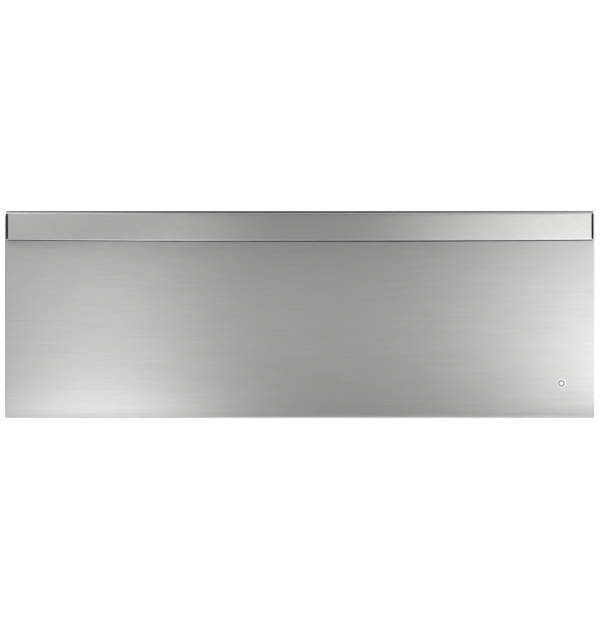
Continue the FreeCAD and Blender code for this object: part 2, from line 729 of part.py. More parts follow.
# ---------------------------------------------------------------- insulation
def insulation_wrap():
    """Mineral-wool blanket over the top and sides of the liner."""
    x = CASE_X - CASE_T - SWAGE_H - INS_CLEAR
    y0 = CASE_FRONT + CASE_T + INS_CLEAR
    y1 = CAVITY_BACK + LINER_T
    z1 = CASE_H - CASE_T - SWAGE_H - INS_CLEAR
    outer = block(-x, x, y0, y1, CASE_T + INS_CLEAR, z1)
    inner_x = CAVITY_X + LINER_T + INS_CLEAR
    inner = block(-inner_x, inner_x, y0 - 1, y1 + 1, 0, CAVITY_TOP + LINER_T + INS_CLEAR)
    cuts = [inner]
    housing_x = BEZEL_W / 2 - HOUSING_SIDE + INS_CLEAR
    cuts.append(block(-housing_x, housing_x, y0 - 1, HOUSING_BACK + INS_CLEAR,
                      CONTROL_Z - BEZEL_H / 2 - INS_CLEAR, CASE_H))
    tip = SLIDE_SCREW_TIP + LINER_T + INS_CLEAR
    groove = block(CAVITY_X, CAVITY_X + tip, y0 - 1, y1 + 1, SLIDE_Z - 2 * SCREW_R, SLIDE_Z + 2 * SCREW_R)
    flange_x = CAVITY_X + LINER_FLANGE + INS_CLEAR
    step = block(-flange_x, flange_x, y0 - 1, CASE_FRONT + LINER_T + 2 * INS_CLEAR, 0,
                 CAVITY_TOP + LINER_FLANGE + INS_CLEAR)
    cuts += [groove, mirrored(groove), step]
    for p in frame_screw_places():
        cuts.append(bar(SCREW_R + 1, p, p + Y_AXIS * (FRAME_D + 8)))
    for p in cover_screw_places():
        cuts.append(bar(SCREW_R + 1, p - Z_AXIS * 8, p))
    return outer.cut(cuts)


def insulation_base():
    """Three pads under the liner, between the cradle channels."""
    z0 = CASE_T + SWAGE_H + INS_CLEAR
    z1 = CAVITY_FLOOR - LINER_T - INS_CLEAR
    reach = CRADLE_W / 2 + CRADLE_FOOT + INS_CLEAR
    stops = (CASE_FRONT + CASE_T + INS_CLEAR, -CRADLE_Y - reach, -CRADLE_Y + reach,
             CRADLE_Y - reach, CRADLE_Y + reach, CAVITY_BACK)
    pads = []
    for y0, y1 in zip(stops[::2], stops[1::2]):
        pads.append(block(-CAVITY_X, CAVITY_X, y0, y1, z0, z1))
    flange = cavity_box(LINER_FLANGE + INS_CLEAR, CASE_FRONT, CASE_FRONT + LINER_T + 2 * INS_CLEAR)
    pads[0] = pads[0].cut(flange)
    return Part.makeCompound(pads)


def insulation_back():
    """Pad behind the liner, cut away round the leads, the probe and the limit thermostat."""
    y0 = CAVITY_BACK + LINER_T + INS_CLEAR
    y1 = CASE_BACK - CASE_T - INS_CLEAR
    pad = block(-CAVITY_X, CAVITY_X, y0, y1, CAVITY_FLOOR, CAVITY_TOP)
    cuts = [bar(BUSH_R + 1, V(side * TUBE_LEAD_X, y0 - 1, TUBE_Z), V(side * TUBE_LEAD_X, y1 + 1, TUBE_Z))
            for side in SIDES]
    probe_x = CAVITY_X - PROBE_WALL
    cuts.append(bar(PROBE_R + 2, V(probe_x, y0 - 1, PROBE_Z), V(probe_x, y1 + 1, PROBE_Z)))
    cuts.append(bar(2 * LIMIT_R, V(LIMIT_X, y0 - 1, LIMIT_Z), V(LIMIT_X, y1 + 1, LIMIT_Z)))
    return pad.cut(cuts)


# ---------------------------------------------------------------- heater
def heating_element():
    """One tubular element bent into two lobes, its cold ends passing out through the back."""
    right = [(TUBE_NEAR_X, TUBE_MID_Y), (TUBE_NEAR_X, TUBE_FRONT_Y), (TUBE_WIDE_X, TUBE_FRONT_Y),
             (TUBE_WIDE_X, TUBE_REAR_Y), (TUBE_LEAD_X, TUBE_REAR_Y), (TUBE_LEAD_X, CASE_BACK + TUBE_OUT)]
    left = [(-x, y) for x, y in reversed(right)]
    return bent_rod([V(x, y, TUBE_Z) for x, y in left + right], TUBE_R, TUBE_BEND)


def element_clips():
    """Upright straps on the cavity floor that carry the element on its long runs."""
    clips = []
    for side in SIDES:
        for x, y in ((TUBE_WIDE_X, 0.5 * TUBE_REAR_Y), (TUBE_WIDE_X, 0.5 * TUBE_FRONT_Y),
                     (TUBE_NEAR_X, 0.5 * TUBE_FRONT_Y)):
            at = side * x
            web = block(at - CLIP_W / 2, at + CLIP_W / 2, y, y + CLIP_T, CAVITY_FLOOR,
                        TUBE_Z + TUBE_R + 2 * CLIP_T)
            foot = block(at - CLIP_W / 2, at + CLIP_W / 2, y, y + CLIP_FOOT, CAVITY_FLOOR,
                         CAVITY_FLOOR + CLIP_T)
            hole = bar(TUBE_R + HOLE_CLEAR / 2, V(at, y - 1, TUBE_Z), V(at, y + 2 * CLIP_T, TUBE_Z))
            clips.append(joined([web, foot]).cut(hole))
    return Part.makeCompound(clips)


def element_terminals():
    """Ceramic bushes round the cold ends, and the flat blade on each end."""
    pieces = []
    for side in SIDES:
        at = V(side * TUBE_LEAD_X, CASE_BACK, TUBE_Z)
        bush = bar(BUSH_R, at, at + Y_AXIS * BUSH_L)
        pieces.append(bush.cut(bar(TUBE_R, at - Y_AXIS, at + Y_AXIS * (BUSH_L + 1))))
        y = CASE_BACK + TUBE_OUT
        pieces.append(block(at.x - BLADE_W / 2, at.x + BLADE_W / 2, y, y + BLADE_L,
                            TUBE_Z - BLADE_T / 2, TUBE_Z + BLADE_T / 2))
    return Part.makeCompound(pieces)


def heat_deflector():
    """Slotted tray over the element that spreads its heat under the pan."""
    x = SHIELD_W / 2
    y0 = SHIELD_Y - SHIELD_D / 2
    y1 = SHIELD_Y + SHIELD_D / 2
    t = SHIELD_T
    body = block(-x, x, y0, y1, CAVITY_FLOOR, SHIELD_Z)
    room = block(-x + t, x - t, y0 + t, y1 - t, CAVITY_FLOOR - 1, SHIELD_Z - t)
    cuts = [room]
    for at in spread(SHIELD_SLOTS, SHIELD_SLOT_PITCH):
        for end in SIDES:
            y = SHIELD_Y + end * (SHIELD_SLOT_L + SHIELD_SLOT_GAP) / 2
            cuts.append(plate_z(at - SHIELD_SLOT_W / 2, at + SHIELD_SLOT_W / 2, y - SHIELD_SLOT_L / 2,
                                y + SHIELD_SLOT_L / 2, 0.49 * SHIELD_SLOT_W, SHIELD_Z - 2 * t, SHIELD_Z + t))
    for side in SIDES:
        at = side * TUBE_LEAD_X
        cuts.append(block(at - 2 * TUBE_R, at + 2 * TUBE_R, y1 - 2 * t, y1 + t, CAVITY_FLOOR - 1,
                          TUBE_Z + 2 * TUBE_R))
    return body.cut(cuts)


def temperature_probe():
    """Sensor rod that reaches in from the back, beside the deflector, on a round flange."""
    at = V(CAVITY_X - PROBE_WALL, CAVITY_BACK, PROBE_Z)
    rod = bar(PROBE_R, at - Y_AXIS * PROBE_L, at + Y_AXIS * (LINER_T + 10))
    flange = bar(PROBE_FLANGE_R, at - Y_AXIS * 1.2, at)
    tip = Part.makeSphere(PROBE_R, at - Y_AXIS * PROBE_L)
    return rod.fuse([flange, tip]).removeSplitter()


def limit_thermostat():
    """Disc thermostat clamped to the outside of the liner's back wall."""
    at = V(LIMIT_X, CAVITY_BACK + LINER_T, LIMIT_Z)
    body = bar(LIMIT_R, at, at + Y_AXIS * LIMIT_L)
    ears = plate_y(LIMIT_X - 1.8 * LIMIT_R, LIMIT_X + 1.8 * LIMIT_R, LIMIT_Z - 4, LIMIT_Z + 4, 3.9,
                   at.y, at.y + 1)
    blades = [block(LIMIT_X + s * 4 - 0.4, LIMIT_X + s * 4 + 0.4, at.y + LIMIT_L - 1, at.y + LIMIT_L + 7,
                    LIMIT_Z - 3, LIMIT_Z + 3) for s in SIDES]
    return joined([body, ears] + blades)


# ---------------------------------------------------------------- rear terminal box
def box_screw_places():
    """Cover screws in the box's end flanges."""
    z = BOX_LOW + BOX_H / 2
    return [V(side * (BOX_W - BOX_END_FLANGE) / 2, BOX_BACK + CASE_T, z) for side in SIDES]


def terminal_box():
    """Shallow box on the back panel with inward flanges for its cover."""
    x = BOX_W / 2
    t = CASE_T
    outer = block(-x, x, CASE_BACK, BOX_BACK, BOX_LOW, BOX_LOW + BOX_H)
    room = block(-x + t, x - t, CASE_BACK - 1, BOX_BACK - t, BOX_LOW + t, BOX_LOW + BOX_H - t)
    mouth = block(-x + BOX_END_FLANGE, x - BOX_END_FLANGE, BOX_BACK - 2 * t, BOX_BACK + 1,
                  BOX_LOW + t, BOX_LOW + BOX_H - t)
    holes = [screw_hole(p, Y_AXIS, 3 * t) for p in box_screw_places()]
    return outer.cut([room, mouth] + holes)


def terminal_cover():
    """Cover plate with the conduit hole."""
    x = BOX_W / 2
    plate = plate_y(-x, x, BOX_LOW, BOX_LOW + BOX_H, BOX_R, BOX_BACK, BOX_BACK + CASE_T)
    hole = bar(CONDUIT_R, V(CONDUIT_X, BOX_BACK - 1, BOX_LOW + CONDUIT_UP),
               V(CONDUIT_X, BOX_BACK + 2 * CASE_T, BOX_LOW + CONDUIT_UP))
    return plate.cut([hole] + [screw_hole(p, Y_AXIS, 3 * CASE_T) for p in box_screw_places()])


def terminal_block():
    """Three-way connection block on the back panel, inside the box."""
    x1 = CONDUIT_X - CONDUIT_R - BLOCK_GAP
    x0 = x1 - BLOCK_W
    z0 = BOX_LOW + BLOCK_UP
    body = block(x0, x1, CASE_BACK, CASE_BACK + BLOCK_D, z0, z0 + BLOCK_H)
    cuts = []
    for i in range(3):
        x = x0 + BLOCK_W * (2 * i + 1) / 6
        cuts.append(bar(BLOCK_WELL_R, V(x, CASE_BACK + BLOCK_D - BLOCK_WELL_D, z0 + BLOCK_H / 2),
                        V(x, CASE_BACK + BLOCK_D + 1, z0 + BLOCK_H / 2)))
    return body.cut(cuts)


def casing_screws():
    """The casing's pan-head screws: frame, top cover, back panel and terminal cover."""
    screws = [screw(p, Y_AXIS, FRAME_D + 4) for p in frame_screw_places()]
    screws += [screw(p, Z_AXIS * -1, 5) for p in cover_screw_places()]
    screws += [screw(p, Y_AXIS * -1, 5) for p in back_screw_places()]
    screws += [screw(p, Y_AXIS * -1, 5) for p in box_screw_places()]
    return Part.makeCompound(screws)


def frame_bumpers():
    """Rubber buffers on the frame that the drawer front closes against."""
    bumpers = []
    for side in SIDES:
        for z in (FRAME_LOW + BUMPER_FOOT, FRAME_TOP - BUMPER_HEAD):
            at = V(side * BUMPER_X, FRAME_FRONT, z)
            round_pad = bar(BUMPER_R, at - Y_AXIS * (SEAL_GAP - RUN_CLEAR), at)
            rim = [e for e in round_pad.Edges if abs(e.BoundBox.YMax - round_pad.BoundBox.YMin) < 1e-6]
            bumpers.append(round_pad.makeChamfer(1.2, rim))
    return Part.makeCompound(bumpers)


# ---------------------------------------------------------------- controls behind the drawer front
def button_places():
    """Centre of each button on the bezel."""
    return [(BUTTON_FIRST_X + i * BUTTON_PITCH, BUTTON_Z) for i in range(len(BUTTON_NAMES))]


def control_bezel():
    """Face of the control strip, with a collar that locates in the frame's window."""
    x = BEZEL_W / 2
    face = plate_y(-x, x, CONTROL_Z - BEZEL_H / 2, CONTROL_Z + BEZEL_H / 2, BEZEL_R,
                   BEZEL_FRONT, FRAME_FRONT)
    collar = block(-COLLAR_X, COLLAR_X, FRAME_FRONT, FRAME_FRONT + COLLAR_D,
                   CONTROL_Z - COLLAR_Z, CONTROL_Z + COLLAR_Z)
    room = block(-COLLAR_X + COLLAR_T, COLLAR_X - COLLAR_T, FRAME_FRONT, FRAME_FRONT + COLLAR_D + 1,
                 CONTROL_Z - COLLAR_Z + COLLAR_T, CONTROL_Z + COLLAR_Z - COLLAR_T)
    cuts = []
    y0 = BEZEL_FRONT - 1
    y1 = FRAME_FRONT + 1
    for bx, bz in button_places():
        cuts.append(plate_y(bx - BUTTON_W / 2, bx + BUTTON_W / 2, bz - BUTTON_H / 2, bz + BUTTON_H / 2,
                            BUTTON_R, y0, y1))
        cuts.append(bar(LED_R, V(bx, y0, bz + LED_UP), V(bx, y1, bz + LED_UP)))
    cuts.append(plate_y(WINDOW_X - WINDOW_W / 2, WINDOW_X + WINDOW_W / 2, CONTROL_Z - WINDOW_H / 2,
                        CONTROL_Z + WINDOW_H / 2, 1.5, y0, y1))
    return face.fuse(collar.cut(room)).cut(cuts).removeSplitter()


def display_lenses():
    """Smoked display window and the four small indicator lenses."""
    fit = 0.1
    window = plate_y(WINDOW_X - WINDOW_W / 2 + fit, WINDOW_X + WINDOW_W / 2 - fit,
                     CONTROL_Z - WINDOW_H / 2 + fit, CONTROL_Z + WINDOW_H / 2 - fit, 1.4,
                     BEZEL_FRONT + 0.2, FRAME_FRONT)
    lenses = [window]
    for bx, bz in button_places():
        lenses.append(bar(LED_R - fit, V(bx, BEZEL_FRONT - 0.3, bz + LED_UP),
                          V(bx, FRAME_FRONT, bz + LED_UP)))
    return Part.makeCompound(lenses)


def control_button(x, z):
    """Push button: a round-cornered cap, a flange that holds it behind the bezel, and a stem."""
    c = BUTTON_CLEAR
    face = BEZEL_FRONT - BUTTON_PROUD
    flange_front = FRAME_FRONT + c
    flange_back = flange_front + BUTTON_FLANGE_T
    cap = plate_y(x - BUTTON_W / 2 + c, x + BUTTON_W / 2 - c, z - BUTTON_H / 2 + c, z + BUTTON_H / 2 - c,
                  BUTTON_R - c, face, flange_front)
    rim = [e for e in cap.Edges if abs(e.BoundBox.YMax - face) < 1e-6]
    cap = cap.makeFillet(0.5, rim)
    g = BUTTON_FLANGE
    flange = block(x - BUTTON_W / 2 - g, x + BUTTON_W / 2 + g, flange_front, flange_back,
                   z - BUTTON_H / 2 - g, z + BUTTON_H / 2 + g)
    gap = BUTTON_TRAVEL + RUN_CLEAR
    stem = bar(BUTTON_STEM_R, V(x, flange_back, z), V(x, BOARD_FRONT - SWITCH_D - gap, z))
    return cap.fuse([flange, stem])


def control_board():
    """Circuit board with a switch behind each button and the display module."""
    x = BEZEL_W / 2 - HOUSING_SIDE - HOUSING_T - BOARD_GAP
    z = BEZEL_H / 2 - HOUSING_T - BOARD_GAP
    board = block(-x, x, BOARD_FRONT, BOARD_FRONT + BOARD_T, CONTROL_Z - z, CONTROL_Z + z)
    w = SWITCH_W / 2
    items = [board]
    for bx, bz in button_places():
        items.append(block(bx - w, bx + w, BOARD_FRONT - SWITCH_D, BOARD_FRONT, bz - w, bz + w))
    module_x = WINDOW_W / 2 - 2
    module_z = WINDOW_H / 2 - 1
    items.append(block(WINDOW_X - module_x, WINDOW_X + module_x, BOARD_FRONT - 5, BOARD_FRONT,
                       CONTROL_Z - module_z, CONTROL_Z + module_z))
    return joined(items)


def control_housing():
    """Open box behind the frame that holds the board on four posts."""
    x = BEZEL_W / 2 - HOUSING_SIDE
    z = BEZEL_H / 2
    t = HOUSING_T
    outer = block(-x, x, HOUSING_FRONT, HOUSING_BACK, CONTROL_Z - z, CONTROL_Z + z)
    room = block(-x + t, x - t, HOUSING_FRONT - 1, HOUSING_BACK - t, CONTROL_Z - z + t, CONTROL_Z + z - t)
    posts = []
    for side in SIDES:
        for up in SIDES:
            at = V(side * (x - 10), BOARD_FRONT + BOARD_T, CONTROL_Z + up * (z - 6))
            posts.append(bar(POST_R, at, V(at.x, HOUSING_BACK - t / 2, at.z)))
    return outer.cut(room).fuse(posts).removeSplitter()


# ---------------------------------------------------------------- telescopic slides (right-hand section)
def slide_block(u0, u1, v, y0, y1):
    """Block of the slide's section: u from the cavity wall inwards, v either side of its middle."""
    return block(CAVITY_X - u1, CAVITY_X - u0, y0, y1, SLIDE_Z - v, SLIDE_Z + v)


def races(radius, u, v):
    """The two long round grooves that a pair of ball rows runs in."""
    return [bar(radius, V(CAVITY_X - u, SLIDE_FRONT - 1, SLIDE_Z + s * v),
                V(CAVITY_X - u, SLIDE_BACK + 1, SLIDE_Z + s * v)) for s in SIDES]


def slide_outer():
    """Cabinet member: a C channel with rolled races inside its flanges."""
    body = slide_block(0, OUTER_FLANGE_W, SLIDE_H / 2, SLIDE_FRONT, SLIDE_BACK)
    room = slide_block(SLIDE_T, OUTER_FLANGE_W + 1, OUTER_ROOM, SLIDE_FRONT - 1, SLIDE_BACK + 1)
    cuts = [room] + races(OUTER_RACE_R, OUTER_BALL_U, OUTER_BALL_V)
    cuts += [screw_hole(V(CAVITY_X, y, SLIDE_Z), X_AXIS, 2 * SLIDE_T) for y in slide_fixing_ys()]
    return body.cut(cuts)


def slide_middle():
    """Intermediate member, with races outside and inside its flanges and access holes in its web."""
    body = slide_block(MID_WEB_U, MID_FLANGE_END, MID_V, SLIDE_FRONT, SLIDE_BACK)
    room = slide_block(MID_WEB_U + SLIDE_MID_T, MID_FLANGE_END + 1, MID_ROOM, SLIDE_FRONT - 1, SLIDE_BACK + 1)
    cuts = [room] + races(OUTER_RACE_R, OUTER_BALL_U, OUTER_BALL_V)
    cuts += races(INNER_RACE_R, INNER_BALL_U, INNER_BALL_V)
    for y in slide_fixing_ys():
        at = V(CAVITY_X - MID_WEB_U, y, SLIDE_Z)
        cuts.append(bar(ACCESS_HOLE_R, at + X_AXIS, at - X_AXIS * (SLIDE_MID_T + 1)))
    return body.cut(cuts)


def slide_inner():
    """Drawer member: the innermost channel, with the pivot pin of the release lever."""
    body = slide_block(INNER_FLANGE_U, SLIDE_W, INNER_V, SLIDE_FRONT, SLIDE_BACK)
    room = slide_block(INNER_FLANGE_U - 1, SLIDE_W - SLIDE_T, INNER_ROOM, SLIDE_FRONT - 1, SLIDE_BACK + 1)
    cuts = [room] + races(INNER_RACE_R, INNER_BALL_U, INNER_BALL_V)
    cuts += [screw_hole(V(RAIL_X, y, SLIDE_Z), X_AXIS, 2 * SLIDE_T) for y in slide_fixing_ys()]
    pin_end = CAVITY_X - LEVER_U + RUN_CLEAR
    pin = bar(LEVER_PIN_R, V(RAIL_X + SLIDE_T / 2, LEVER_Y, SLIDE_Z), V(pin_end, LEVER_Y, SLIDE_Z))
    return body.cut(cuts).fuse(pin)


def ball_ys():
    """Ball places along a cage."""
    return [SLIDE_MID_Y + y for y in spread(BALLS_PER_ROW, 0.9 * CAGE_L / (BALLS_PER_ROW - 1))]


def ball_cage(web_u, end_u, ball_u, ball_v, hole_r):
    """U-shaped retainer strip: a web beside the middle member and a lip through each ball row."""
    y0 = SLIDE_MID_Y - CAGE_L / 2
    y1 = SLIDE_MID_Y + CAGE_L / 2
    v = ball_v + CAGE_T / 2
    body = slide_block(web_u, end_u, v, y0, y1)
    room = slide_block(web_u + CAGE_WEB_T, end_u + 1, v - CAGE_T, y0 - 1, y1 + 1)
    holes = [bar(hole_r, V(CAVITY_X - ball_u, y, SLIDE_Z - v - 1), V(CAVITY_X - ball_u, y, SLIDE_Z + v + 1))
             for y in ball_ys()]
    return body.cut([room] + holes)


def loaded_cage(web_u, end_u, ball_u, ball_v, ball_r):
    """One cage and the upper and lower rows of balls that it holds."""
    cage = ball_cage(web_u, end_u, ball_u, ball_v, ball_r + CAGE_HOLE_CLEAR)
    balls = [Part.makeSphere(ball_r, V(CAVITY_X - ball_u, y, SLIDE_Z + s * ball_v))
             for s in SIDES for y in ball_ys()]
    return Part.makeCompound([cage] + balls)


def both_sides(shapes):
    """Right-hand shapes and their left-hand twins, as one group of solids."""
    return Part.makeCompound(list(shapes) + [mirrored(s) for s in shapes])


def release_lever():
    """Latch lever on the drawer member, with a thumb arm towards the front and a short hook behind."""
    x0 = CAVITY_X - LEVER_U - LEVER_T
    x1 = CAVITY_X - LEVER_U
    hub = bar(LEVER_R, V(x0, LEVER_Y, SLIDE_Z), V(x1, LEVER_Y, SLIDE_Z))
    tip_y = LEVER_Y - LEVER_L + LEVER_TIP_R
    tip = bar(LEVER_TIP_R, V(x0, tip_y, SLIDE_Z), V(x1, tip_y, SLIDE_Z))
    arm = prism([V(x0, LEVER_Y, SLIDE_Z - 0.8 * LEVER_R), V(x0, LEVER_Y, SLIDE_Z + 0.8 * LEVER_R),
                 V(x0, tip_y, SLIDE_Z + LEVER_TIP_R), V(x0, tip_y, SLIDE_Z - LEVER_TIP_R)], V(LEVER_T, 0, 0))
    hook = prism([V(x0, LEVER_Y, SLIDE_Z - 3), V(x0, LEVER_Y + LEVER_TAIL, SLIDE_Z - 3),
                  V(x0, LEVER_Y + LEVER_TAIL, SLIDE_Z + 5), V(x0, LEVER_Y + LEVER_TAIL - 4, SLIDE_Z + 5),
                  V(x0, LEVER_Y + LEVER_TAIL - 5, SLIDE_Z + 1), V(x0, LEVER_Y, SLIDE_Z + 1)],
                 V(LEVER_T, 0, 0))
    bore = bar(LEVER_PIN_R + LEVER_PIN_CLEAR, V(x0 - 1, LEVER_Y, SLIDE_Z), V(x1 + 1, LEVER_Y, SLIDE_Z))
    return joined([hub, tip, arm, hook]).cut(bore)


def slide_screws():
    """Low truss-head screws that hold the cabinet members to the liner."""
    screws = []
    for y in slide_fixing_ys():
        seat = V(CAVITY_X - SLIDE_T, y, SLIDE_Z)
        length = SLIDE_T + LINER_T + SLIDE_SCREW_TIP
        screws.append(screw(seat, X_AXIS, length, SLIDE_HEAD_R, SLIDE_SCREW_HEAD))
    return both_sides(screws)


# ---------------------------------------------------------------- drawer front
def handle_screw_places():
    """Where the handle is screwed on from inside the drawer front."""
    z = HANDLE_TOP - HANDLE_SCREW_DROP
    return [V(x, DOOR_FACE, z) for x in spread(HANDLE_SCREWS, HANDLE_SCREW_PITCH)]


def door_skin():
    """Folded outer front: a flat face, rounded bends, four returns and back lips."""
    outer = block(-DOOR_X, DOOR_X, DOOR_FACE, DOOR_BACK, DOOR_LOW, DOOR_TOP)
    face_edges = [e for e in outer.Edges if abs(e.BoundBox.YMax - DOOR_FACE) < 1e-6]
    outer = outer.makeFillet(SKIN_R, face_edges)
    t = SKIN_T
    room = block(-DOOR_X + t, DOOR_X - t, DOOR_FACE + t, DOOR_BACK - t, DOOR_LOW + t, DOOR_TOP - t)
    mouth = block(-DOOR_X + SKIN_LIP, DOOR_X - SKIN_LIP, DOOR_BACK - 2 * t, DOOR_BACK + 1,
                  DOOR_LOW + SKIN_LIP, DOOR_TOP - SKIN_LIP)
    cuts = [room, mouth]
    cuts += [screw_hole(p, Y_AXIS, 2 * t) for p in handle_screw_places()]
    y = (DOOR_FACE + DOOR_BACK) / 2
    for x in spread(TOP_SLOTS, TOP_SLOT_PITCH):
        cuts.append(plate_z(x - TOP_SLOT_W / 2, x + TOP_SLOT_W / 2, y - TOP_SLOT_D / 2, y + TOP_SLOT_D / 2,
                            0.49 * TOP_SLOT_D, DOOR_TOP - 2 * t, DOOR_TOP + t))
    return outer.cut(cuts)


def boss(grow, y0, y1):
    """The inner panel's raised field, grown outwards, with a sloped edge towards the cavity."""
    x = CAVITY_X - BOSS_SIDE + grow
    raised = plate_y(-x, x, CAVITY_FLOOR + BOSS_SIDE - grow, CAVITY_TOP - BOSS_SIDE + grow,
                     BOSS_R + grow, y0, y1)
    rim = [e for e in raised.Edges if abs(e.BoundBox.YMin - y1) < 1e-6]
    return raised.makeChamfer(0.6 * BOSS_H, rim)


def vent_places():
    """Centre of each moisture-vent slot."""
    return spread(VENT_COUNT, VENT_PITCH)


def guide_places():
    """The two guide pins, outside the row of vent slots."""
    reach = (VENT_COUNT - 1) / 2 * VENT_PITCH + VENT_SLOT_W / 2 + SLIDER_END
    return [V(side * reach, BOSS_BACK, VENT_Z) for side in SIDES]


def door_inner_panel():
    """Inner sheet with a raised field, vent slots, rail screw holes and the slider's guide pins."""
    plate = block(-DOOR_X + PANEL_INSET, DOOR_X - PANEL_INSET, DOOR_BACK, PANEL_BACK,
                  DOOR_LOW + PANEL_INSET, DOOR_TOP - PANEL_INSET)
    hollow = boss(-PANEL_T, DOOR_BACK - 1, BOSS_BACK - PANEL_T)
    sheet = plate.fuse(boss(0, DOOR_BACK, BOSS_BACK)).cut(hollow).removeSplitter()
    cuts = []
    for x in vent_places():
        cuts.append(plate_y(x - VENT_SLOT_W / 2, x + VENT_SLOT_W / 2, VENT_Z - VENT_SLOT_H / 2,
                            VENT_Z + VENT_SLOT_H / 2, 0.49 * VENT_SLOT_H, DOOR_BACK - 1, BOSS_BACK + 1))
    cuts += [screw_hole(p, Y_AXIS, 2) for p in rail_screw_places()]
    sheet = sheet.cut(cuts)
    pins = []
    for p in guide_places():
        start = p - Y_AXIS * (PANEL_T / 2)
        neck_end = p + Y_AXIS * (SLIDER_T + RUN_CLEAR)
        pins.append(bar(GUIDE_R, start, neck_end))
        pins.append(bar(GUIDE_HEAD_R, neck_end, neck_end + Y_AXIS * GUIDE_HEAD_T))
    return sheet.fuse(pins)


def vent_slider():
    """Slotted shutter over the moisture vents, with a finger tab; it runs on two guide pins."""
    r = GUIDE_R + RUN_CLEAR
    left = min(p.x for p in guide_places()) - VENT_TRAVEL - r - SLIDER_MARGIN
    right = max(p.x for p in guide_places()) + r + SLIDER_MARGIN
    y0 = BOSS_BACK + RUN_CLEAR / 2
    y1 = y0 + SLIDER_T
    plate = plate_y(left, right, VENT_Z - SLIDER_H / 2, VENT_Z + SLIDER_H / 2, SLIDER_MARGIN, y0, y1)
    cuts = []
    for x in vent_places():
        cuts.append(plate_y(x - VENT_SLOT_W / 2, x + VENT_SLOT_W / 2, VENT_Z - VENT_SLOT_H / 2,
                            VENT_Z + VENT_SLOT_H / 2, 0.49 * VENT_SLOT_H, y0 - 1, y1 + 1))
    for p in guide_places():
        cuts.append(plate_y(p.x - VENT_TRAVEL - r, p.x + r, VENT_Z - r, VENT_Z + r, 0.99 * r, y0 - 1, y1 + 1))
    tab_x = VENT_PITCH / 2
    tab = block(tab_x - TAB_W / 2, tab_x + TAB_W / 2, y1, y1 + TAB_D,
                VENT_Z - SLIDER_H / 2 + 1, VENT_Z - SLIDER_H / 2 + 1 + TAB_H)
    return plate.cut(cuts).fuse(tab).removeSplitter()


def door_gasket():
    """Closed loop of seal on the inner panel, round the cavity mouth."""
    y1 = FRAME_FRONT - RUN_CLEAR
    ring = cavity_box(GASKET_OUT + GASKET_W, PANEL_BACK, y1)
    ring = ring.cut(cavity_box(GASKET_OUT, PANEL_BACK - 1, y1 + 1))
    rim = [e for e in ring.Edges if abs(e.BoundBox.YMin - y1) < 1e-6]
    return ring.makeFillet(0.38 * GASKET_W, rim)


def door_insulation():
    """Pad between the outer and inner sheets, cut away below the top slots as the vent's air way."""
    x = DOOR_X - DOOR_PAD_SIDE
    pad = block(-x, x, DOOR_FACE + SKIN_T + PAD_CLEAR, DOOR_BACK - SKIN_T - PAD_CLEAR,
                DOOR_LOW + SKIN_T + PAD_CLEAR, DOOR_TOP - DOOR_PAD_TOP)
    way_x = guide_places()[0].x
    way = block(-way_x, way_x, DOOR_FACE, DOOR_BACK, VENT_Z - SLIDER_H, DOOR_TOP)
    cuts = [way]
    for p in rail_screw_places():
        cuts.append(bar(2 * SCREW_R, p, p - Y_AXIS * 14))
    return pad.cut(cuts)


# ---------------------------------------------------------------- handle
def bowed_plan(depth, z0, z1, half=HANDLE_X):
    """Solid between the drawer front and the handle's bowed front arc moved in by a depth."""
    radius = HANDLE_BEND_R - depth
    end_y = HANDLE_CENTRE_Y - math.sqrt(radius**2 - half**2)
    arc = Part.Arc(V(-half, end_y, z0), V(0, HANDLE_CENTRE_Y - radius, z0), V(half, end_y, z0))
    back = Part.makePolygon([V(half, end_y, z0), V(half, DOOR_FACE, z0), V(-half, DOOR_FACE, z0),
                             V(-half, end_y, z0)])
    return Part.Face(Part.Wire([arc.toShape()] + back.Edges)).extrude(V(0, 0, z1 - z0))


def end_strip(side, y0, y1, grow):
    """Round-ended upright at a handle end, as wide as the strip that shows beside the steel face."""
    x1 = HANDLE_X
    x0 = x1 - END_STRIP_W - grow
    strip = plate_y(x0, x1 + END_STRIP_W, HANDLE_LOW + END_STRIP_FOOT - grow, HANDLE_TOP - HANDLE_R + grow,
                    END_STRIP_R, y0, y1)
    return handed(strip, side)


def handle_skin():
    """Bowed steel channel: front face, top and bottom bends, short returns, open ends."""
    t = HANDLE_T
    body = bowed_plan(0, HANDLE_LOW, HANDLE_TOP)
    bends = [e for e in body.Edges if e.BoundBox.YMin < DOOR_FACE - HANDLE_END_PROUD - HANDLE_BOW / 2
             and e.BoundBox.ZLength < 1e-6]
    body = body.makeFillet(HANDLE_R, bends)
    far = HANDLE_X + 1
    cuts = [bowed_plan(t, HANDLE_LOW + t, HANDLE_TOP - t, far),
            bowed_plan(HANDLE_TOP_RETURN, HANDLE_TOP - 2 * t, HANDLE_TOP + t, far),
            bowed_plan(HANDLE_LOW_RETURN, HANDLE_LOW - t, HANDLE_LOW + 2 * t, far)]
    y0 = DOOR_FACE - HANDLE_END_PROUD - HANDLE_BOW
    cuts += [end_strip(side, y0, DOOR_FACE, 0) for side in SIDES]
    return body.cut(cuts)


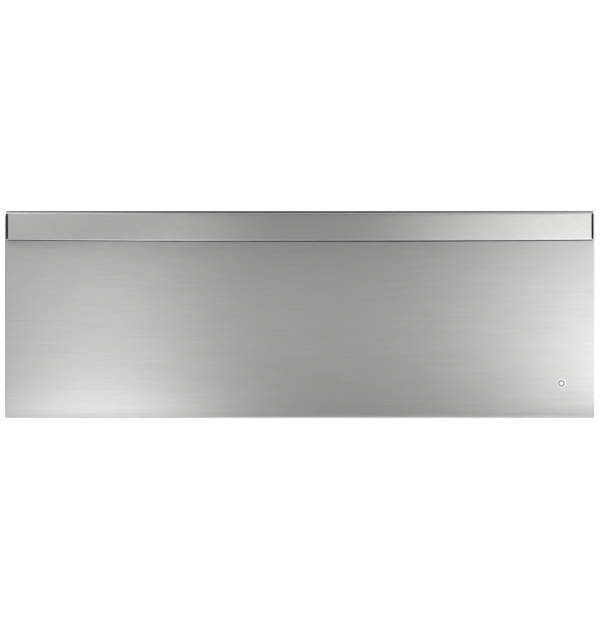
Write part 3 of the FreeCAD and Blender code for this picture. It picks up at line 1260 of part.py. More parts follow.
def handle_core(skin):
    """Black moulding inside the handle: top plate, end walls, rear wall, ribs and screw bosses."""
    under = bowed_plan(HANDLE_T, HANDLE_TOP - CORE_T, HANDLE_TOP - HANDLE_T)
    top = bowed_plan(HANDLE_TOP_RETURN, HANDLE_TOP - CORE_T, HANDLE_TOP).fuse(under)
    wall = block(-HANDLE_X, HANDLE_X, DOOR_FACE - CORE_T, DOOR_FACE,
                 HANDLE_TOP - CORE_WALL_H, HANDLE_TOP - CORE_T / 2)
    envelope = bowed_plan(0, HANDLE_LOW, HANDLE_TOP)
    pieces = [top, wall]
    y0 = DOOR_FACE - HANDLE_END_PROUD - HANDLE_BOW
    for side in SIDES:
        pieces.append(end_strip(side, y0, DOOR_FACE, 0).common(envelope))
    inside = bowed_plan(HANDLE_T, HANDLE_LOW, HANDLE_TOP)
    for x in spread(CORE_RIBS, CORE_RIB_PITCH):
        rib = block(x - CORE_RIB_T / 2, x + CORE_RIB_T / 2, y0, DOOR_FACE,
                    HANDLE_TOP - CORE_T - CORE_RIB_H, HANDLE_TOP - CORE_T / 2)
        pieces.append(rib.common(inside))
    for p in handle_screw_places():
        pieces.append(bar(CORE_BOSS_R, p, p - Y_AXIS * CORE_BOSS_D))
    core = joined(pieces).cut(skin)
    return core.cut([screw_seat(p) for p in handle_screw_places()])


def screw_seat(place):
    """Blind pilot hole in a handle boss, the size of the screw's shank."""
    return bar(SCREW_R, place, place - Y_AXIS * (CORE_BOSS_D - 1))


def handle_backing_bar():
    """Steel strip inside the drawer front that spreads the handle's pull."""
    half = HANDLE_SCREW_PITCH * (HANDLE_SCREWS - 1) / 2 + BACKING_H
    z = HANDLE_TOP - HANDLE_SCREW_DROP
    y = DOOR_FACE + SKIN_T
    strip = plate_y(-half, half, z - BACKING_H / 2, z + BACKING_H / 2, 3, y, y + BACKING_T)
    return strip.cut([screw_hole(p, Y_AXIS, 3 * BACKING_T) for p in handle_screw_places()])


def handle_screws():
    """Screws from inside the drawer front, through the backing bar, into the handle core."""
    seat = SKIN_T + BACKING_T
    return Part.makeCompound([screw(p + Y_AXIS * seat, Y_AXIS * -1, seat + CORE_BOSS_D - 1.5)
                              for p in handle_screw_places()])


def emblem():
    """Plain round badge: a rim, a shallow dish and a small centre dome."""
    at = V(EMBLEM_X, DOOR_FACE, DOOR_LOW + EMBLEM_ABOVE)
    disc = bar(EMBLEM_R, at, at - Y_AXIS * EMBLEM_H)
    dish = bar(EMBLEM_R - EMBLEM_RIM, at - Y_AXIS * EMBLEM_DISH, at - Y_AXIS * (EMBLEM_H + 1))
    ball_r = (EMBLEM_DOME_R**2 + EMBLEM_DISH**2) / (2 * EMBLEM_DISH)
    ball = Part.makeSphere(ball_r, V(at.x, at.y - EMBLEM_H + ball_r, at.z))
    dome = ball.common(bar(EMBLEM_R - EMBLEM_RIM, at, at - Y_AXIS * EMBLEM_H))
    return disc.cut(dish).fuse(dome)


# ---------------------------------------------------------------- drawer body
def rail_screw_places():
    """Rail tabs on the inner panel's raised field."""
    x = RAIL_X - RAIL_TAB / 2
    return [V(side * x, BOSS_BACK, z) for side in SIDES
            for z in (RAIL_LOW + RAIL_SCREW_UP, PAN_RIM_Z - RAIL_SCREW_DOWN)]


def drawer_rail(side):
    """Side rail: web on the slide, ledge for the pan's rim, foot, and a front tab to the door."""
    t = RAIL_T
    line = [(RAIL_X - RAIL_FOOT, RAIL_LOW), (RAIL_X, RAIL_LOW), (RAIL_X, PAN_RIM_Z),
            (RAIL_X - RAIL_LEDGE, PAN_RIM_Z)]
    body = folded_y(line, t, BOSS_BACK, RAIL_BACK)
    tab = block(RAIL_X - RAIL_TAB, RAIL_X - t / 2, BOSS_BACK, BOSS_BACK + t, RAIL_LOW,
                PAN_RIM_Z - RAIL_TAB_TOP_GAP)
    rail = handed(joined([body, tab]), side)
    cuts = [screw_hole(p, Y_AXIS, 3 * t) for p in rail_screw_places()]
    cuts += [screw_hole(V(side * RAIL_X, y, SLIDE_Z), X_AXIS, 3 * t) for y in slide_fixing_ys()]
    return rail.cut(cuts)


def rear_crossbar(rails):
    """Folded bar that ties the rails together and carries the pan's rear rim."""
    z0 = PAN_RIM_Z - CROSSBAR_H
    line = [(CROSSBAR_BACK - CROSSBAR_FOOT, z0), (CROSSBAR_BACK, z0),
            (CROSSBAR_BACK, PAN_RIM_Z), (CROSSBAR_BACK - CROSSBAR_TOP, PAN_RIM_Z)]
    x = RAIL_X - RAIL_T
    return folded_x(line, RAIL_T, -x, x).cut(rails)


def drawer_screws():
    """Screws of the drawer: rail tabs to the door, and rails to the drawer members."""
    screws = []
    for p in rail_screw_places():
        screws.append(screw(p + Y_AXIS * RAIL_T, Y_AXIS * -1, RAIL_T + PANEL_T + RAIL_SCREW_GRIP))
    for y in slide_fixing_ys():
        for side in SIDES:
            seat = V(side * (RAIL_X - RAIL_T), y, SLIDE_Z)
            screws.append(screw(seat, X_AXIS * side, RAIL_T + SLIDE_T + SLIDE_SCREW_GRIP))
    return Part.makeCompound(screws)


def pan_tub(inset, z0, z1):
    """The pan's round-cornered body, taken in by a wall, with a rolled floor edge."""
    x = PAN_WALL_X - inset
    y0 = PAN_FRONT + PAN_RIM_W + inset
    y1 = PAN_BACK - PAN_RIM_W - inset
    tub = plate_z(-x, x, y0, y1, PAN_R - inset, z0, z1)
    floor_edges = [e for e in tub.Edges if abs(e.BoundBox.ZMax - z0) < 1e-6]
    return tub.makeFillet(PAN_FLOOR_R - inset, floor_edges)


def warming_pan():
    """Deep-drawn pan with a flat rim that rests on the rails and the rear crossbar."""
    rim = plate_z(-PAN_X, PAN_X, PAN_FRONT, PAN_BACK, PAN_R + PAN_RIM_W / 2, PAN_RIM_Z, PAN_TOP)
    body = pan_tub(0, PAN_BOTTOM, PAN_TOP).fuse(rim)
    return body.cut(pan_tub(PAN_T, PAN_BOTTOM + PAN_T, PAN_TOP + 1)).removeSplitter()


def half_rack():
    """Wire shelf for one half of the pan: round-cornered frame, cross wires and two bent leg rods."""
    x1 = PAN_WALL_X - RACK_FROM_WALL
    x0 = x1 - RACK_W
    mid_y = (PAN_FRONT + PAN_BACK) / 2
    y0 = mid_y - RACK_D / 2
    y1 = mid_y + RACK_D / 2
    floor = PAN_BOTTOM + PAN_T
    z = floor + RACK_H - RACK_FRAME_R
    mid_x = (x0 + x1) / 2
    ring = [(mid_x, y0), (x1, y0), (x1, y1), (x0, y1), (x0, y0), (mid_x, y0)]
    halves = [bent_rod([V(x, y, z) for x, y in pts], RACK_FRAME_R, RACK_R)
              for pts in ([ring[0], ring[1], ring[2], (mid_x, y1)], [(mid_x, y1), ring[3], ring[4], ring[0]])]
    wires = []
    wire_z = z + RACK_FRAME_R + RACK_WIRE_R - RACK_WELD
    for i in range(RACK_WIRES):
        y = y0 + RACK_R + i * (RACK_D - 2 * RACK_R) / (RACK_WIRES - 1)
        wires.append(bar(RACK_WIRE_R, V(x0 - RACK_WIRE_R, y, wire_z), V(x1 + RACK_WIRE_R, y, wire_z)))
    leg_z = z - 2 * RACK_FRAME_R + RACK_WELD
    foot_z = floor + RACK_FRAME_R
    legs = []
    for x in (x0 + RACK_LEG_INSET, x1 - RACK_LEG_INSET):
        near = y0 + RACK_LEG_INSET
        far = y1 - RACK_LEG_INSET
        points = [V(x, y0 - RACK_FRAME_R, leg_z), V(x, near, leg_z), V(x, near, foot_z), V(x, far, foot_z),
                  V(x, far, leg_z), V(x, y1 + RACK_FRAME_R, leg_z)]
        legs.append(bent_rod(points, RACK_FRAME_R, 0.4 * RACK_H))
    return halves[0].fuse(halves[1:] + wires + legs).removeSplitter()


# ---------------------------------------------------------------- assembly
def build():
    """All pieces by name."""
    skin = handle_skin()
    rails = {side: drawer_rail(side) for side in SIDES}
    outer_cage = loaded_cage(OUTER_CAGE_U, OUTER_CAGE_END, OUTER_BALL_U, OUTER_BALL_V, OUTER_BALL_R)
    inner_cage = loaded_cage(INNER_CAGE_U, INNER_CAGE_END, INNER_BALL_U, INNER_BALL_V, INNER_BALL_R)
    pieces = {
        "base_pan": base_pan(),
        "side_panel_right": side_panel(1),
        "side_panel_left": side_panel(-1),
        "top_cover": top_cover(),
        "back_panel": back_panel(),
        "tie_down_brackets": tie_down_brackets(),
        "front_frame": front_frame(),
        "cavity_liner": cavity_liner(),
        "cradle_channels": cradle_channels(),
        "insulation_wrap": insulation_wrap(),
        "insulation_base": insulation_base(),
        "insulation_back": insulation_back(),
        "heating_element": heating_element(),
        "element_clips": element_clips(),
        "element_terminals": element_terminals(),
        "heat_deflector": heat_deflector(),
        "temperature_probe": temperature_probe(),
        "limit_thermostat": limit_thermostat(),
        "terminal_box": terminal_box(),
        "terminal_cover": terminal_cover(),
        "terminal_block": terminal_block(),
        "casing_screws": casing_screws(),
        "frame_bumpers": frame_bumpers(),
        "control_bezel": control_bezel(),
        "control_board": control_board(),
        "control_housing": control_housing(),
        "display_lenses": display_lenses(),
        "slide_outer_right": slide_outer(),
        "slide_outer_left": mirrored(slide_outer()),
        "slide_screws": slide_screws(),
        "slide_middle_right": slide_middle(),
        "slide_middle_left": mirrored(slide_middle()),
        "outer_cage_right": outer_cage,
        "outer_cage_left": mirrored(outer_cage),
        "inner_cage_right": inner_cage,
        "inner_cage_left": mirrored(inner_cage),
        "slide_inner_right": slide_inner(),
        "slide_inner_left": mirrored(slide_inner()),
        "release_lever_right": release_lever(),
        "release_lever_left": mirrored(release_lever()),
        "door_skin": door_skin(),
        "door_inner_panel": door_inner_panel(),
        "vent_slider": vent_slider(),
        "door_gasket": door_gasket(),
        "door_insulation": door_insulation(),
        "handle_skin": skin,
        "handle_core": handle_core(skin),
        "handle_backing_bar": handle_backing_bar(),
        "handle_screws": handle_screws(),
        "emblem": emblem(),
        "drawer_rail_right": rails[1],
        "drawer_rail_left": rails[-1],
        "rear_crossbar": rear_crossbar(list(rails.values())),
        "drawer_screws": drawer_screws(),
        "warming_pan": warming_pan(),
        "half_rack": half_rack(),
    }
    for name, (x, z) in zip(BUTTON_NAMES, button_places()):
        pieces[name] = control_button(x, z)
    return pieces


os.makedirs("parts", exist_ok=True)
for node, shape in build().items():
    shape.exportStep(f"parts/{node}.step")
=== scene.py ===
"""A built-in warming drawer: finishes for every part, fine detail pieces and a plain studio."""

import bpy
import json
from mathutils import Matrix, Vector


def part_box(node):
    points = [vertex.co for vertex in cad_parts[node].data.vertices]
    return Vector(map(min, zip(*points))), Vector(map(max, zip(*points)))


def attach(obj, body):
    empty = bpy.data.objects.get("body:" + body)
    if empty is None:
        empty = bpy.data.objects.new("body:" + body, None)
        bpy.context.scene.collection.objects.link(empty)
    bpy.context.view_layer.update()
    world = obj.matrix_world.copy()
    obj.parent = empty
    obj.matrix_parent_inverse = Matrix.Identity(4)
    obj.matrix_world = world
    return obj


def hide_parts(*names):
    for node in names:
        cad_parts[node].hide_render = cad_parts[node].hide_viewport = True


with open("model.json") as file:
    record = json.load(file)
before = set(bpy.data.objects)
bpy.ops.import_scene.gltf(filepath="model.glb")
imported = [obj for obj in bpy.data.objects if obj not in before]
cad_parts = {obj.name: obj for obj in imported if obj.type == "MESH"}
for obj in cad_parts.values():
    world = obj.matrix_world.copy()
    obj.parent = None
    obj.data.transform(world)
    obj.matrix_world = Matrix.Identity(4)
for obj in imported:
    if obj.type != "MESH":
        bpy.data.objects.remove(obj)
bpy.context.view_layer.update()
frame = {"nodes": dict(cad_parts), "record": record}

import json
import logging
import math
from dataclasses import dataclass
from enum import Enum
from typing import Sequence

import bmesh
import bpy
import numpy as np
from mathutils import Vector

LOG = logging.getLogger("warming_drawer")
MM = 0.001
SIDES = (1, -1)
FORWARD, BACKWARD, UPWARD = (0, -1, 0), (0, 1, 0), (0, 0, 1)
GRAIN, MOTTLE = "brush_grain", "mottle"
Pair = tuple[float, float]
Row = tuple[float, ...]
Colour = tuple[float, float, float]
Point = tuple[float, float, float]
Socket = bpy.types.NodeSocket
Looks = dict[str, object]


# ------------------------------------------------------------------ materials
class Run(Enum):
    """The way a steel sheet is brushed."""

    X = 0
    Y = 1


class Noise(Enum):
    """The two noises of the mottle."""

    CLOUDS = "Clouds"
    SPECKS = "Specks"


class NodeBench:
    """Lays out and wires the nodes of one material, world or shared group."""

    def __init__(self, tree: bpy.types.NodeTree) -> None:
        """Starts on an empty node tree."""
        self.tree = tree
        tree.nodes.clear()

    def give(self, into: Socket, value: object) -> None:
        """Wires an input to another node's output, or sets its own value.

        Args:
            into: the input.
            value: an output socket, a number, a vector or a colour.
        """
        if isinstance(value, Socket):
            self.tree.links.new(value, into)
        else:
            into.default_value = value

    def feed(self, node: bpy.types.Node, looks: Looks) -> None:
        """Gives a node's inputs their values by name."""
        for name, value in looks.items():
            self.give(node.inputs[name], value)

    def add(self, kind: str, **settings: object) -> bpy.types.Node:
        """Adds a node.

        Args:
            kind: the node's type name without its ShaderNode prefix.
            settings: attributes of the node, and in_NAME for what an input is given.

        Returns:
            The new node.
        """
        node = self.tree.nodes.new("ShaderNode" + kind)
        for key, value in settings.items():
            if not key.startswith("in_"):
                setattr(node, key, value)
        self.feed(node, {key[3:].replace("_", " "): value for key, value in settings.items()
                         if key.startswith("in_")})
        return node

    def stretched(self, scale: Point = (1, 1, 1)) -> Socket:
        """Object coordinates, multiplied by scale."""
        where = self.add("TexCoord").outputs["Object"]
        return self.add("Mapping", in_Vector=where, in_Scale=scale).outputs[0]

    def noise(self, where: Socket, scale: object, octaves: float, rough: float) -> Socket:
        """Noise from 0 to 1 at a point; rough is how strong the finer octaves are."""
        return self.add("TexNoise", in_Vector=where, in_Scale=scale, in_Detail=octaves,
                        in_Roughness=rough).outputs["Fac"]

    def mottle(self, clouds: float, specks: float) -> bpy.types.bpy_prop_collection:
        """Soft Clouds and sharp Specks, each with its own scale per metre."""
        return self.add("Group", node_tree=bpy.data.node_groups[MOTTLE], in_Point=self.stretched(),
                        in_Clouds=clouds, in_Specks=specks).outputs

    def spread(self, value: Socket, low: float, high: float, start: float = 0.0, end: float = 1.0) -> Socket:
        """Takes start..end of a value to low..high."""
        return self.add("MapRange", in_Value=value, in_From_Min=start, in_From_Max=end, in_To_Min=low,
                        in_To_Max=high).outputs["Result"]

    def ordered(self, kind: str, *values: object, **settings: object) -> Socket:
        """Adds a node whose inputs are given values in order.

        Args:
            kind: the node's type name without its ShaderNode prefix.
            values: what its first inputs are given.
            settings: as for add.

        Returns:
            Its first output.
        """
        node = self.add(kind, **settings)
        for into, value in zip(node.inputs, values):
            self.give(into, value)
        return node.outputs[0]

    def sum(self, kind: str, *values: object) -> Socket:
        """Arithmetic on sockets or numbers, by the Math node's name for it."""
        return self.ordered("Math", *values, operation=kind)

    def mixed(self, first: Socket, second: Socket, share: float = 0.6) -> Socket:
        """A share of the first value and the rest of the second."""
        return self.sum("ADD", self.sum("MULTIPLY", first, share), self.sum("MULTIPLY", second, 1.0 - share))

    def length(self, vector: Socket) -> Socket:
        """How long a vector is."""
        return self.add("VectorMath", operation="LENGTH", in_Vector=vector).outputs["Value"]

    def blend(self, share: Socket, first: Colour, second: Colour) -> Socket:
        """A colour between two.

        Args:
            share: 0 gives the first colour and 1 the second.
            first: a colour.
            second: another.

        Returns:
            The colour between them.
        """
        node = self.add("Mix", data_type="RGBA")
        for number, value in ((0, share), (6, (*first, 1.0)), (7, (*second, 1.0))):
            self.give(node.inputs[number], value)
        return node.outputs[2]

    def bump(self, height: Socket, depth: float, strength: float = 1.0) -> Socket:
        """A normal from a height of 0 to 1, which stands for a depth in metres."""
        return self.add("Bump", in_Strength=strength, in_Distance=depth, in_Height=height).outputs["Normal"]

    def looked_at(self) -> Socket:
        """How far a ray looks at a thing rather than gathers its light.

        Returns:
            1 for rays that see it straight, in metal or through glass, else 0.
        """
        rays = self.add("LightPath").outputs
        mirrored = self.sum("MAXIMUM", rays["Is Glossy Ray"], rays["Is Transmission Ray"])
        return self.sum("MAXIMUM", rays["Is Camera Ray"], mirrored)


def noise_group(name: str, *noises: tuple[str, str, float, float]) -> None:
    """Makes a shared node group that gives several noises of one point.

    Args:
        name: the group's name.
        noises: for each its scale's name, its output's name, its octaves and how strong the finer are.
    """
    tree = bpy.data.node_groups.new(name, "ShaderNodeTree")
    tree.interface.new_socket("Point", in_out="INPUT", socket_type="NodeSocketVector")
    for scale, value, _, _ in noises:
        tree.interface.new_socket(scale, in_out="INPUT", socket_type="NodeSocketFloat")
        tree.interface.new_socket(value, in_out="OUTPUT", socket_type="NodeSocketFloat")
    bench = NodeBench(tree)
    given, made = tree.nodes.new("NodeGroupInput").outputs, tree.nodes.new("NodeGroupOutput").inputs
    for scale, value, octaves, rough in noises:
        bench.give(made[value], bench.noise(given["Point"], given[scale], octaves, rough))


def new_material(name: str) -> tuple[bpy.types.Material, NodeBench]:
    """Starts a material.

    Args:
        name: its name.

    Returns:
        The material and the bench of its nodes.
    """
    made = bpy.data.materials.new(name)
    made.use_nodes = True
    return made, NodeBench(made.node_tree)


@dataclass(frozen=True)
class Finish:
    """A surface finish: clouds of tone with small specks, and a faint unevenness.

    Scales are per metre. The haze is how far the roughness wanders, as shares of itself.
    """

    colour: Colour
    rough: float = 0.5
    metal: float = 0.0
    tone: float = 0.06
    clouds: float = 30.0
    specks: float = 600.0
    haze: Pair = (0.85, 1.15)
    haze_by: Noise = Noise.SPECKS
    relief: Noise = Noise.SPECKS
    depth: float = 0.00004

    def material(self, name: str) -> bpy.types.Material:
        """Makes the material.

        Args:
            name: its name.

        Returns:
            The material.
        """
        made, bench = new_material(name)
        shader = bench.add("BsdfPrincipled", in_Metallic=self.metal, in_Roughness=self.rough)
        bench.add("OutputMaterial", in_Surface=shader.outputs["BSDF"])
        bench.feed(shader, self.looks(bench))
        return made

    def tinted(self, bench: NodeBench, tone: Socket) -> Socket:
        """The colour, from a little darker to a little lighter by a tone of 0 to 1."""
        return bench.blend(tone, tuple(c * (1 - self.tone) for c in self.colour),
                           tuple(min(1.0, c * (1 + self.tone)) for c in self.colour))

    def hazed(self, bench: NodeBench, value: Socket, start: float = 0.0, end: float = 1.0) -> Socket:
        """The roughness, taken over the haze as a value goes from start to end."""
        return bench.spread(value, self.rough * self.haze[0], self.rough * self.haze[1], start, end)

    def looks(self, bench: NodeBench) -> Looks:
        """What goes into the shader.

        Args:
            bench: the material's nodes.

        Returns:
            The shader's inputs.
        """
        mottle = bench.mottle(self.clouds, self.specks)
        return {
            "Base Color": self.tinted(bench, mottle["Clouds"]),
            "Roughness": self.hazed(bench, mottle[self.haze_by.value]),
            "Normal": bench.bump(mottle[self.relief.value], self.depth),
        }


@dataclass(frozen=True)
class BrushedSteel(Finish):
    """Steel brushed one way: long scratches, streaky tone and a highlight drawn out across them."""

    metal: float = 1.0
    rough: float = 0.34
    tone: float = 0.07
    haze: Pair = (1.12, 0.88)
    run: Run = Run.X
    drawn_out: float = 0.6
    turn: float = 0.25
    fine: float = 2600.0
    broader: float = 4.0
    stretch: float = 60.0
    depth: float = 0.000012
    contrast: Pair = (0.3, 0.7)

    def looks(self, bench: NodeBench) -> Looks:
        """Brush lines in the tone, the roughness and the normal: noise that is long along the brushing.

        Args:
            bench: the material's nodes.

        Returns:
            The shader's inputs.
        """
        scale = [1.0, 1.0, 1.0]
        scale[self.run.value] = 1.0 / self.stretch
        grain = bench.add("Group", node_tree=bpy.data.node_groups[GRAIN], in_Point=bench.stretched(scale),
                          in_Fine=self.fine, in_Broad=self.fine / self.broader).outputs
        both = bench.mixed(grain["Lines"], grain["Streaks"])
        return {
            "Base Color": self.tinted(bench, bench.spread(both, 0.0, 1.0, *self.contrast)),
            "Roughness": self.hazed(bench, both, *self.contrast),
            "Normal": bench.bump(grain["Lines"], self.depth),
            "Anisotropic": self.drawn_out,
            "Anisotropic Rotation": self.turn,
            "Tangent": bench.add("Tangent", direction_type="RADIAL", axis="Z").outputs["Tangent"],
        }


@dataclass(frozen=True)
class ZincSheet(Finish):
    """Galvanised sheet: angular crystals of slightly different tone and polish under soft clouds."""

    metal: float = 1.0
    rough: float = 0.42
    tone: float = 0.12
    clouds: float = 18.0
    haze: Pair = (0.75, 1.25)
    depth: float = 0.00002
    crystal: float = 7 * MM

    def looks(self, bench: NodeBench) -> Looks:
        """Crystals in the tone and the roughness, with a soft cloud over them.

        Args:
            bench: the material's nodes.

        Returns:
            The shader's inputs.
        """
        cells = bench.add("TexVoronoi", in_Vector=bench.stretched(), in_Scale=1 / self.crystal)
        crystal = bench.add("SeparateColor", in_Color=cells.outputs["Color"]).outputs
        mottle = bench.mottle(self.clouds, self.specks)
        return {
            "Base Color": self.tinted(bench, bench.mixed(crystal["Red"], mottle["Clouds"])),
            "Roughness": self.hazed(bench, crystal["Green"]),
            "Normal": bench.bump(mottle["Specks"], self.depth),
        }


@dataclass(frozen=True)
class Wool(Finish):
    """Mineral wool: matted fibres in layers, with darker binder spots."""

    rough: float = 0.95
    tone: float = 0.18
    clouds: float = 60.0
    depth: float = 0.0012
    fibre: float = 900.0
    ways: tuple[Point, Point] = ((0.25, 1, 2.5), (1, 0.25, 2.5))
    contrast: Pair = (0.3, 0.7)
    matting: float = 0.9
    sheen: float = 0.3

    def looks(self, bench: NodeBench) -> Looks:
        """Fibres lying and crossing, in tone and height.

        Args:
            bench: the material's nodes.

        Returns:
            The shader's inputs.
        """
        lying, crossing = (bench.noise(bench.stretched(way), self.fibre, 5.0, 0.7) for way in self.ways)
        fibres = bench.sum("MULTIPLY", bench.sum("ADD", lying, crossing), 0.5)
        tone = bench.mixed(fibres, bench.mottle(self.clouds, self.specks)["Clouds"])
        return {
            "Base Color": self.tinted(bench, bench.spread(tone, 0.0, 1.0, *self.contrast)),
            "Normal": bench.bump(fibres, self.depth, self.matting),
            "Sheen Weight": self.sheen,
        }


@dataclass(frozen=True)
class Chrome(Finish):
    """Bright plating with faint waviness and fine polishing haze."""

    metal: float = 1.0
    rough: float = 0.12
    tone: float = 0.03
    clouds: float = 90.0
    specks: float = 2500.0
    haze: Pair = (0.7, 1.4)
    relief: Noise = Noise.CLOUDS
    depth: float = 0.00003


@dataclass(frozen=True)
class BadgeMetal(Finish):
    """Satin metal, lighter on the badge's ring than in its dish, with a near-white stud that is a painted
    highlight.
    """

    metal: float = 1.0
    rough: float = 0.34
    clouds: float = 200.0
    specks: float = 4000.0
    haze: Pair = (0.9, 1.1)
    depth: float = 0.00001
    centre: Point = (335.3 * MM, 0.0, 41.0 * MM)
    ring_from: float = 4.35 * MM
    stud_to: float = 2.4 * MM
    soft: float = 0.15 * MM
    dish: float = 0.3
    ring: float = 0.75
    # the stud's near-white is a painted highlight
    stud: float = 0.97

    def tinted(self, bench: NodeBench, tone: Socket) -> Socket:
        """Grey by the distance from the badge's axis, whatever the tone; the near-white stud is a painted
        highlight.

        Args:
            bench: the material's nodes.
            tone: not used here.

        Returns:
            The colour.
        """
        place = bench.add("Mapping", vector_type="POINT", in_Vector=bench.stretched((1, 0, 1)),
                          in_Location=tuple(-c for c in self.centre))
        radius = bench.length(place.outputs["Vector"])
        ring = bench.spread(radius, 0.0, self.ring - self.dish, self.ring_from - self.soft, self.ring_from)
        # painted highlight: the stud is given near-white
        stud = bench.spread(radius, self.stud, self.dish, self.stud_to - self.soft, self.stud_to)
        return bench.blend(bench.sum("ADD", ring, stud), (0, 0, 0), (1, 1, 1))


@dataclass(frozen=True)
class Moulding(Finish):
    """Moulded plastic: a fine spark-eroded grain under a soft gloss."""

    rough: float = 0.45
    clouds: float = 25.0
    specks: float = 1800.0
    haze: Pair = (0.9, 1.1)
    haze_by: Noise = Noise.CLOUDS
    depth: float = 0.00003
    coat: float = 0.0
    coat_rough: float = 0.08
    shine: float = 0.5

    def looks(self, bench: NodeBench) -> Looks:
        """The mottle under a gloss and a coat."""
        return super().looks(bench) | {"Specular IOR Level": self.shine, "Coat Weight": self.coat,
                                       "Coat Roughness": self.coat_rough}


@dataclass(frozen=True)
class SmokedWindow(Finish):
    """A dark translucent window, faintly wavy, clear enough to show what shines behind it."""

    rough: float = 0.06
    clouds: float = 40.0
    specks: float = 900.0
    haze: Pair = (0.8, 1.3)
    relief: Noise = Noise.CLOUDS
    depth: float = 0.00001
    clear: float = 0.35
    coat: float = 0.6

    def looks(self, bench: NodeBench) -> Looks:
        """The mottle in a clear coated sheet."""
        return super().looks(bench) | {"Transmission Weight": self.clear, "Coat Weight": self.coat}


class FinishBook:
    """Every finish on the object, by the name of its slot."""

    def __init__(self) -> None:
        """Makes the shared groups and the materials."""
        noise_group(GRAIN, ("Fine", "Lines", 4.0, 0.65), ("Broad", "Streaks", 3.0, 0.55))
        noise_group(MOTTLE, ("Clouds", "Clouds", 2.0, 0.5), ("Specks", "Specks", 5.0, 0.5))
        finishes: dict[str, Finish] = {
            "front_steel": BrushedSteel((0.62, 0.62, 0.615)),
            "frame_steel": BrushedSteel((0.56, 0.56, 0.555), rough=0.4),
            "black_moulding": Moulding((0.014, 0.014, 0.015), rough=0.6, shine=0.03),
            "control_plastic": Moulding((0.02, 0.02, 0.023), rough=0.22, coat=0.5, depth=0.00001),
            "zinc_sheet": ZincSheet((0.52, 0.54, 0.56)),
            "liner_steel": BrushedSteel((0.5, 0.5, 0.49), run=Run.Y, rough=0.33),
            "mineral_wool": Wool((0.62, 0.56, 0.42)),
            "heater_tube": Finish((0.11, 0.115, 0.11), rough=0.6, metal=0.4, tone=0.3),
            "ceramic_white": Moulding((0.8, 0.78, 0.7), rough=0.35, specks=900.0),
            "sensor_metal": BrushedSteel((0.6, 0.6, 0.61), rough=0.28, stretch=40.0),
            "terminal_resin": Moulding((0.7, 0.69, 0.63), rough=0.5),
            "seal_rubber": Moulding((0.03, 0.03, 0.03), rough=0.75, depth=0.00006),
            "bumper_rubber": Moulding((0.022, 0.022, 0.022), rough=0.7, depth=0.00006),
            "button_plastic": Moulding((0.05, 0.05, 0.055), rough=0.33, coat=0.2),
            "display_glass": SmokedWindow((0.03, 0.014, 0.014)),
            "board_resin": Moulding((0.02, 0.17, 0.06), rough=0.4, tone=0.2),
            "slide_steel": BrushedSteel((0.62, 0.63, 0.65), run=Run.Y, rough=0.3, tone=0.05),
            "rail_steel": BrushedSteel((0.58, 0.58, 0.575), run=Run.Y, rough=0.34),
            "pan_steel": BrushedSteel((0.6, 0.6, 0.59), run=Run.Y, rough=0.3),
            "rack_chrome": Chrome((0.74, 0.74, 0.76)),
            "shutter_steel": BrushedSteel((0.6, 0.6, 0.6)),
            "screw_steel": BrushedSteel((0.62, 0.62, 0.61), rough=0.28, stretch=6.0, drawn_out=0.3),
            # the badge's stud carries a painted highlight
            "badge_chrome": BadgeMetal((0.75, 0.75, 0.75)),
        }
        self.materials = {slot: finish.material(slot) for slot, finish in finishes.items()}

    def dress(self, mesh: bpy.types.Mesh, slot: str) -> None:
        """Leaves a mesh with the material of one slot."""
        mesh.materials.clear()
        mesh.materials.append(self.materials[slot])

    def dress_frame(self) -> None:
        """Puts each CAD node in the finish of the slot that the record names."""
        rows = frame["record"]["subparts"]
        for row in rows:
            self.dress(frame["nodes"][row["node"]].data, row["material_slot"])
        LOG.info("finishes: %d on %d nodes", len(self.materials), len(rows))


# ------------------------------------------------------------------ surfaces
def unit(vectors: np.ndarray) -> np.ndarray:
    """Each vector divided by its own length."""
    return vectors / np.linalg.norm(vectors, axis=-1, keepdims=True)


def points_at(*coordinates: np.ndarray) -> np.ndarray:
    """Points whose coordinates are arrays that stretch to one shape."""
    return np.stack(np.broadcast_arrays(*coordinates), -1)


def ease(value: np.ndarray, start: float, end: float) -> np.ndarray:
    """0 below start, 1 above end, and the cubic 3t² - 2t³ between them."""
    share = np.clip((value - start) / (end - start), 0.0, 1.0)
    return share * share * (3.0 - 2.0 * share)


def full_turn(count: int) -> np.ndarray:
    """Angles evenly round a full turn."""
    return np.linspace(0.0, 2 * np.pi, count, endpoint=False)


def tangents(line: np.ndarray, closed: bool) -> np.ndarray:
    """The way a line runs at each of its points, from the points before and after."""
    return unit(np.roll(line, -1, axis=0) - np.roll(line, 1, axis=0) if closed else np.gradient(line, axis=0))


def grid_faces(rows: int, cols: int, wrap_rows: bool = False) -> np.ndarray:
    """Quads of closed rings of points that are stored ring by ring.

    Args:
        rows: the number of rings.
        cols: the number of points in a ring.
        wrap_rows: the last ring joins the first.

    Returns:
        Corner numbers, four to a face.
    """
    row, col = np.meshgrid(np.arange(rows if wrap_rows else rows - 1), np.arange(cols), indexing="ij")
    below, beside = (row + 1) % rows, (col + 1) % cols
    faces = [row * cols + col, row * cols + beside, below * cols + beside, below * cols + col]
    return np.stack(faces, -1).reshape(-1, 4)


def smooth(mesh: bpy.types.Mesh, sharp_deg: float = 38.0) -> None:
    """Shades a mesh smooth but for edges sharper than sharp_deg."""
    mesh.shade_smooth()
    mesh.set_sharp_from_angle(angle=math.radians(sharp_deg))


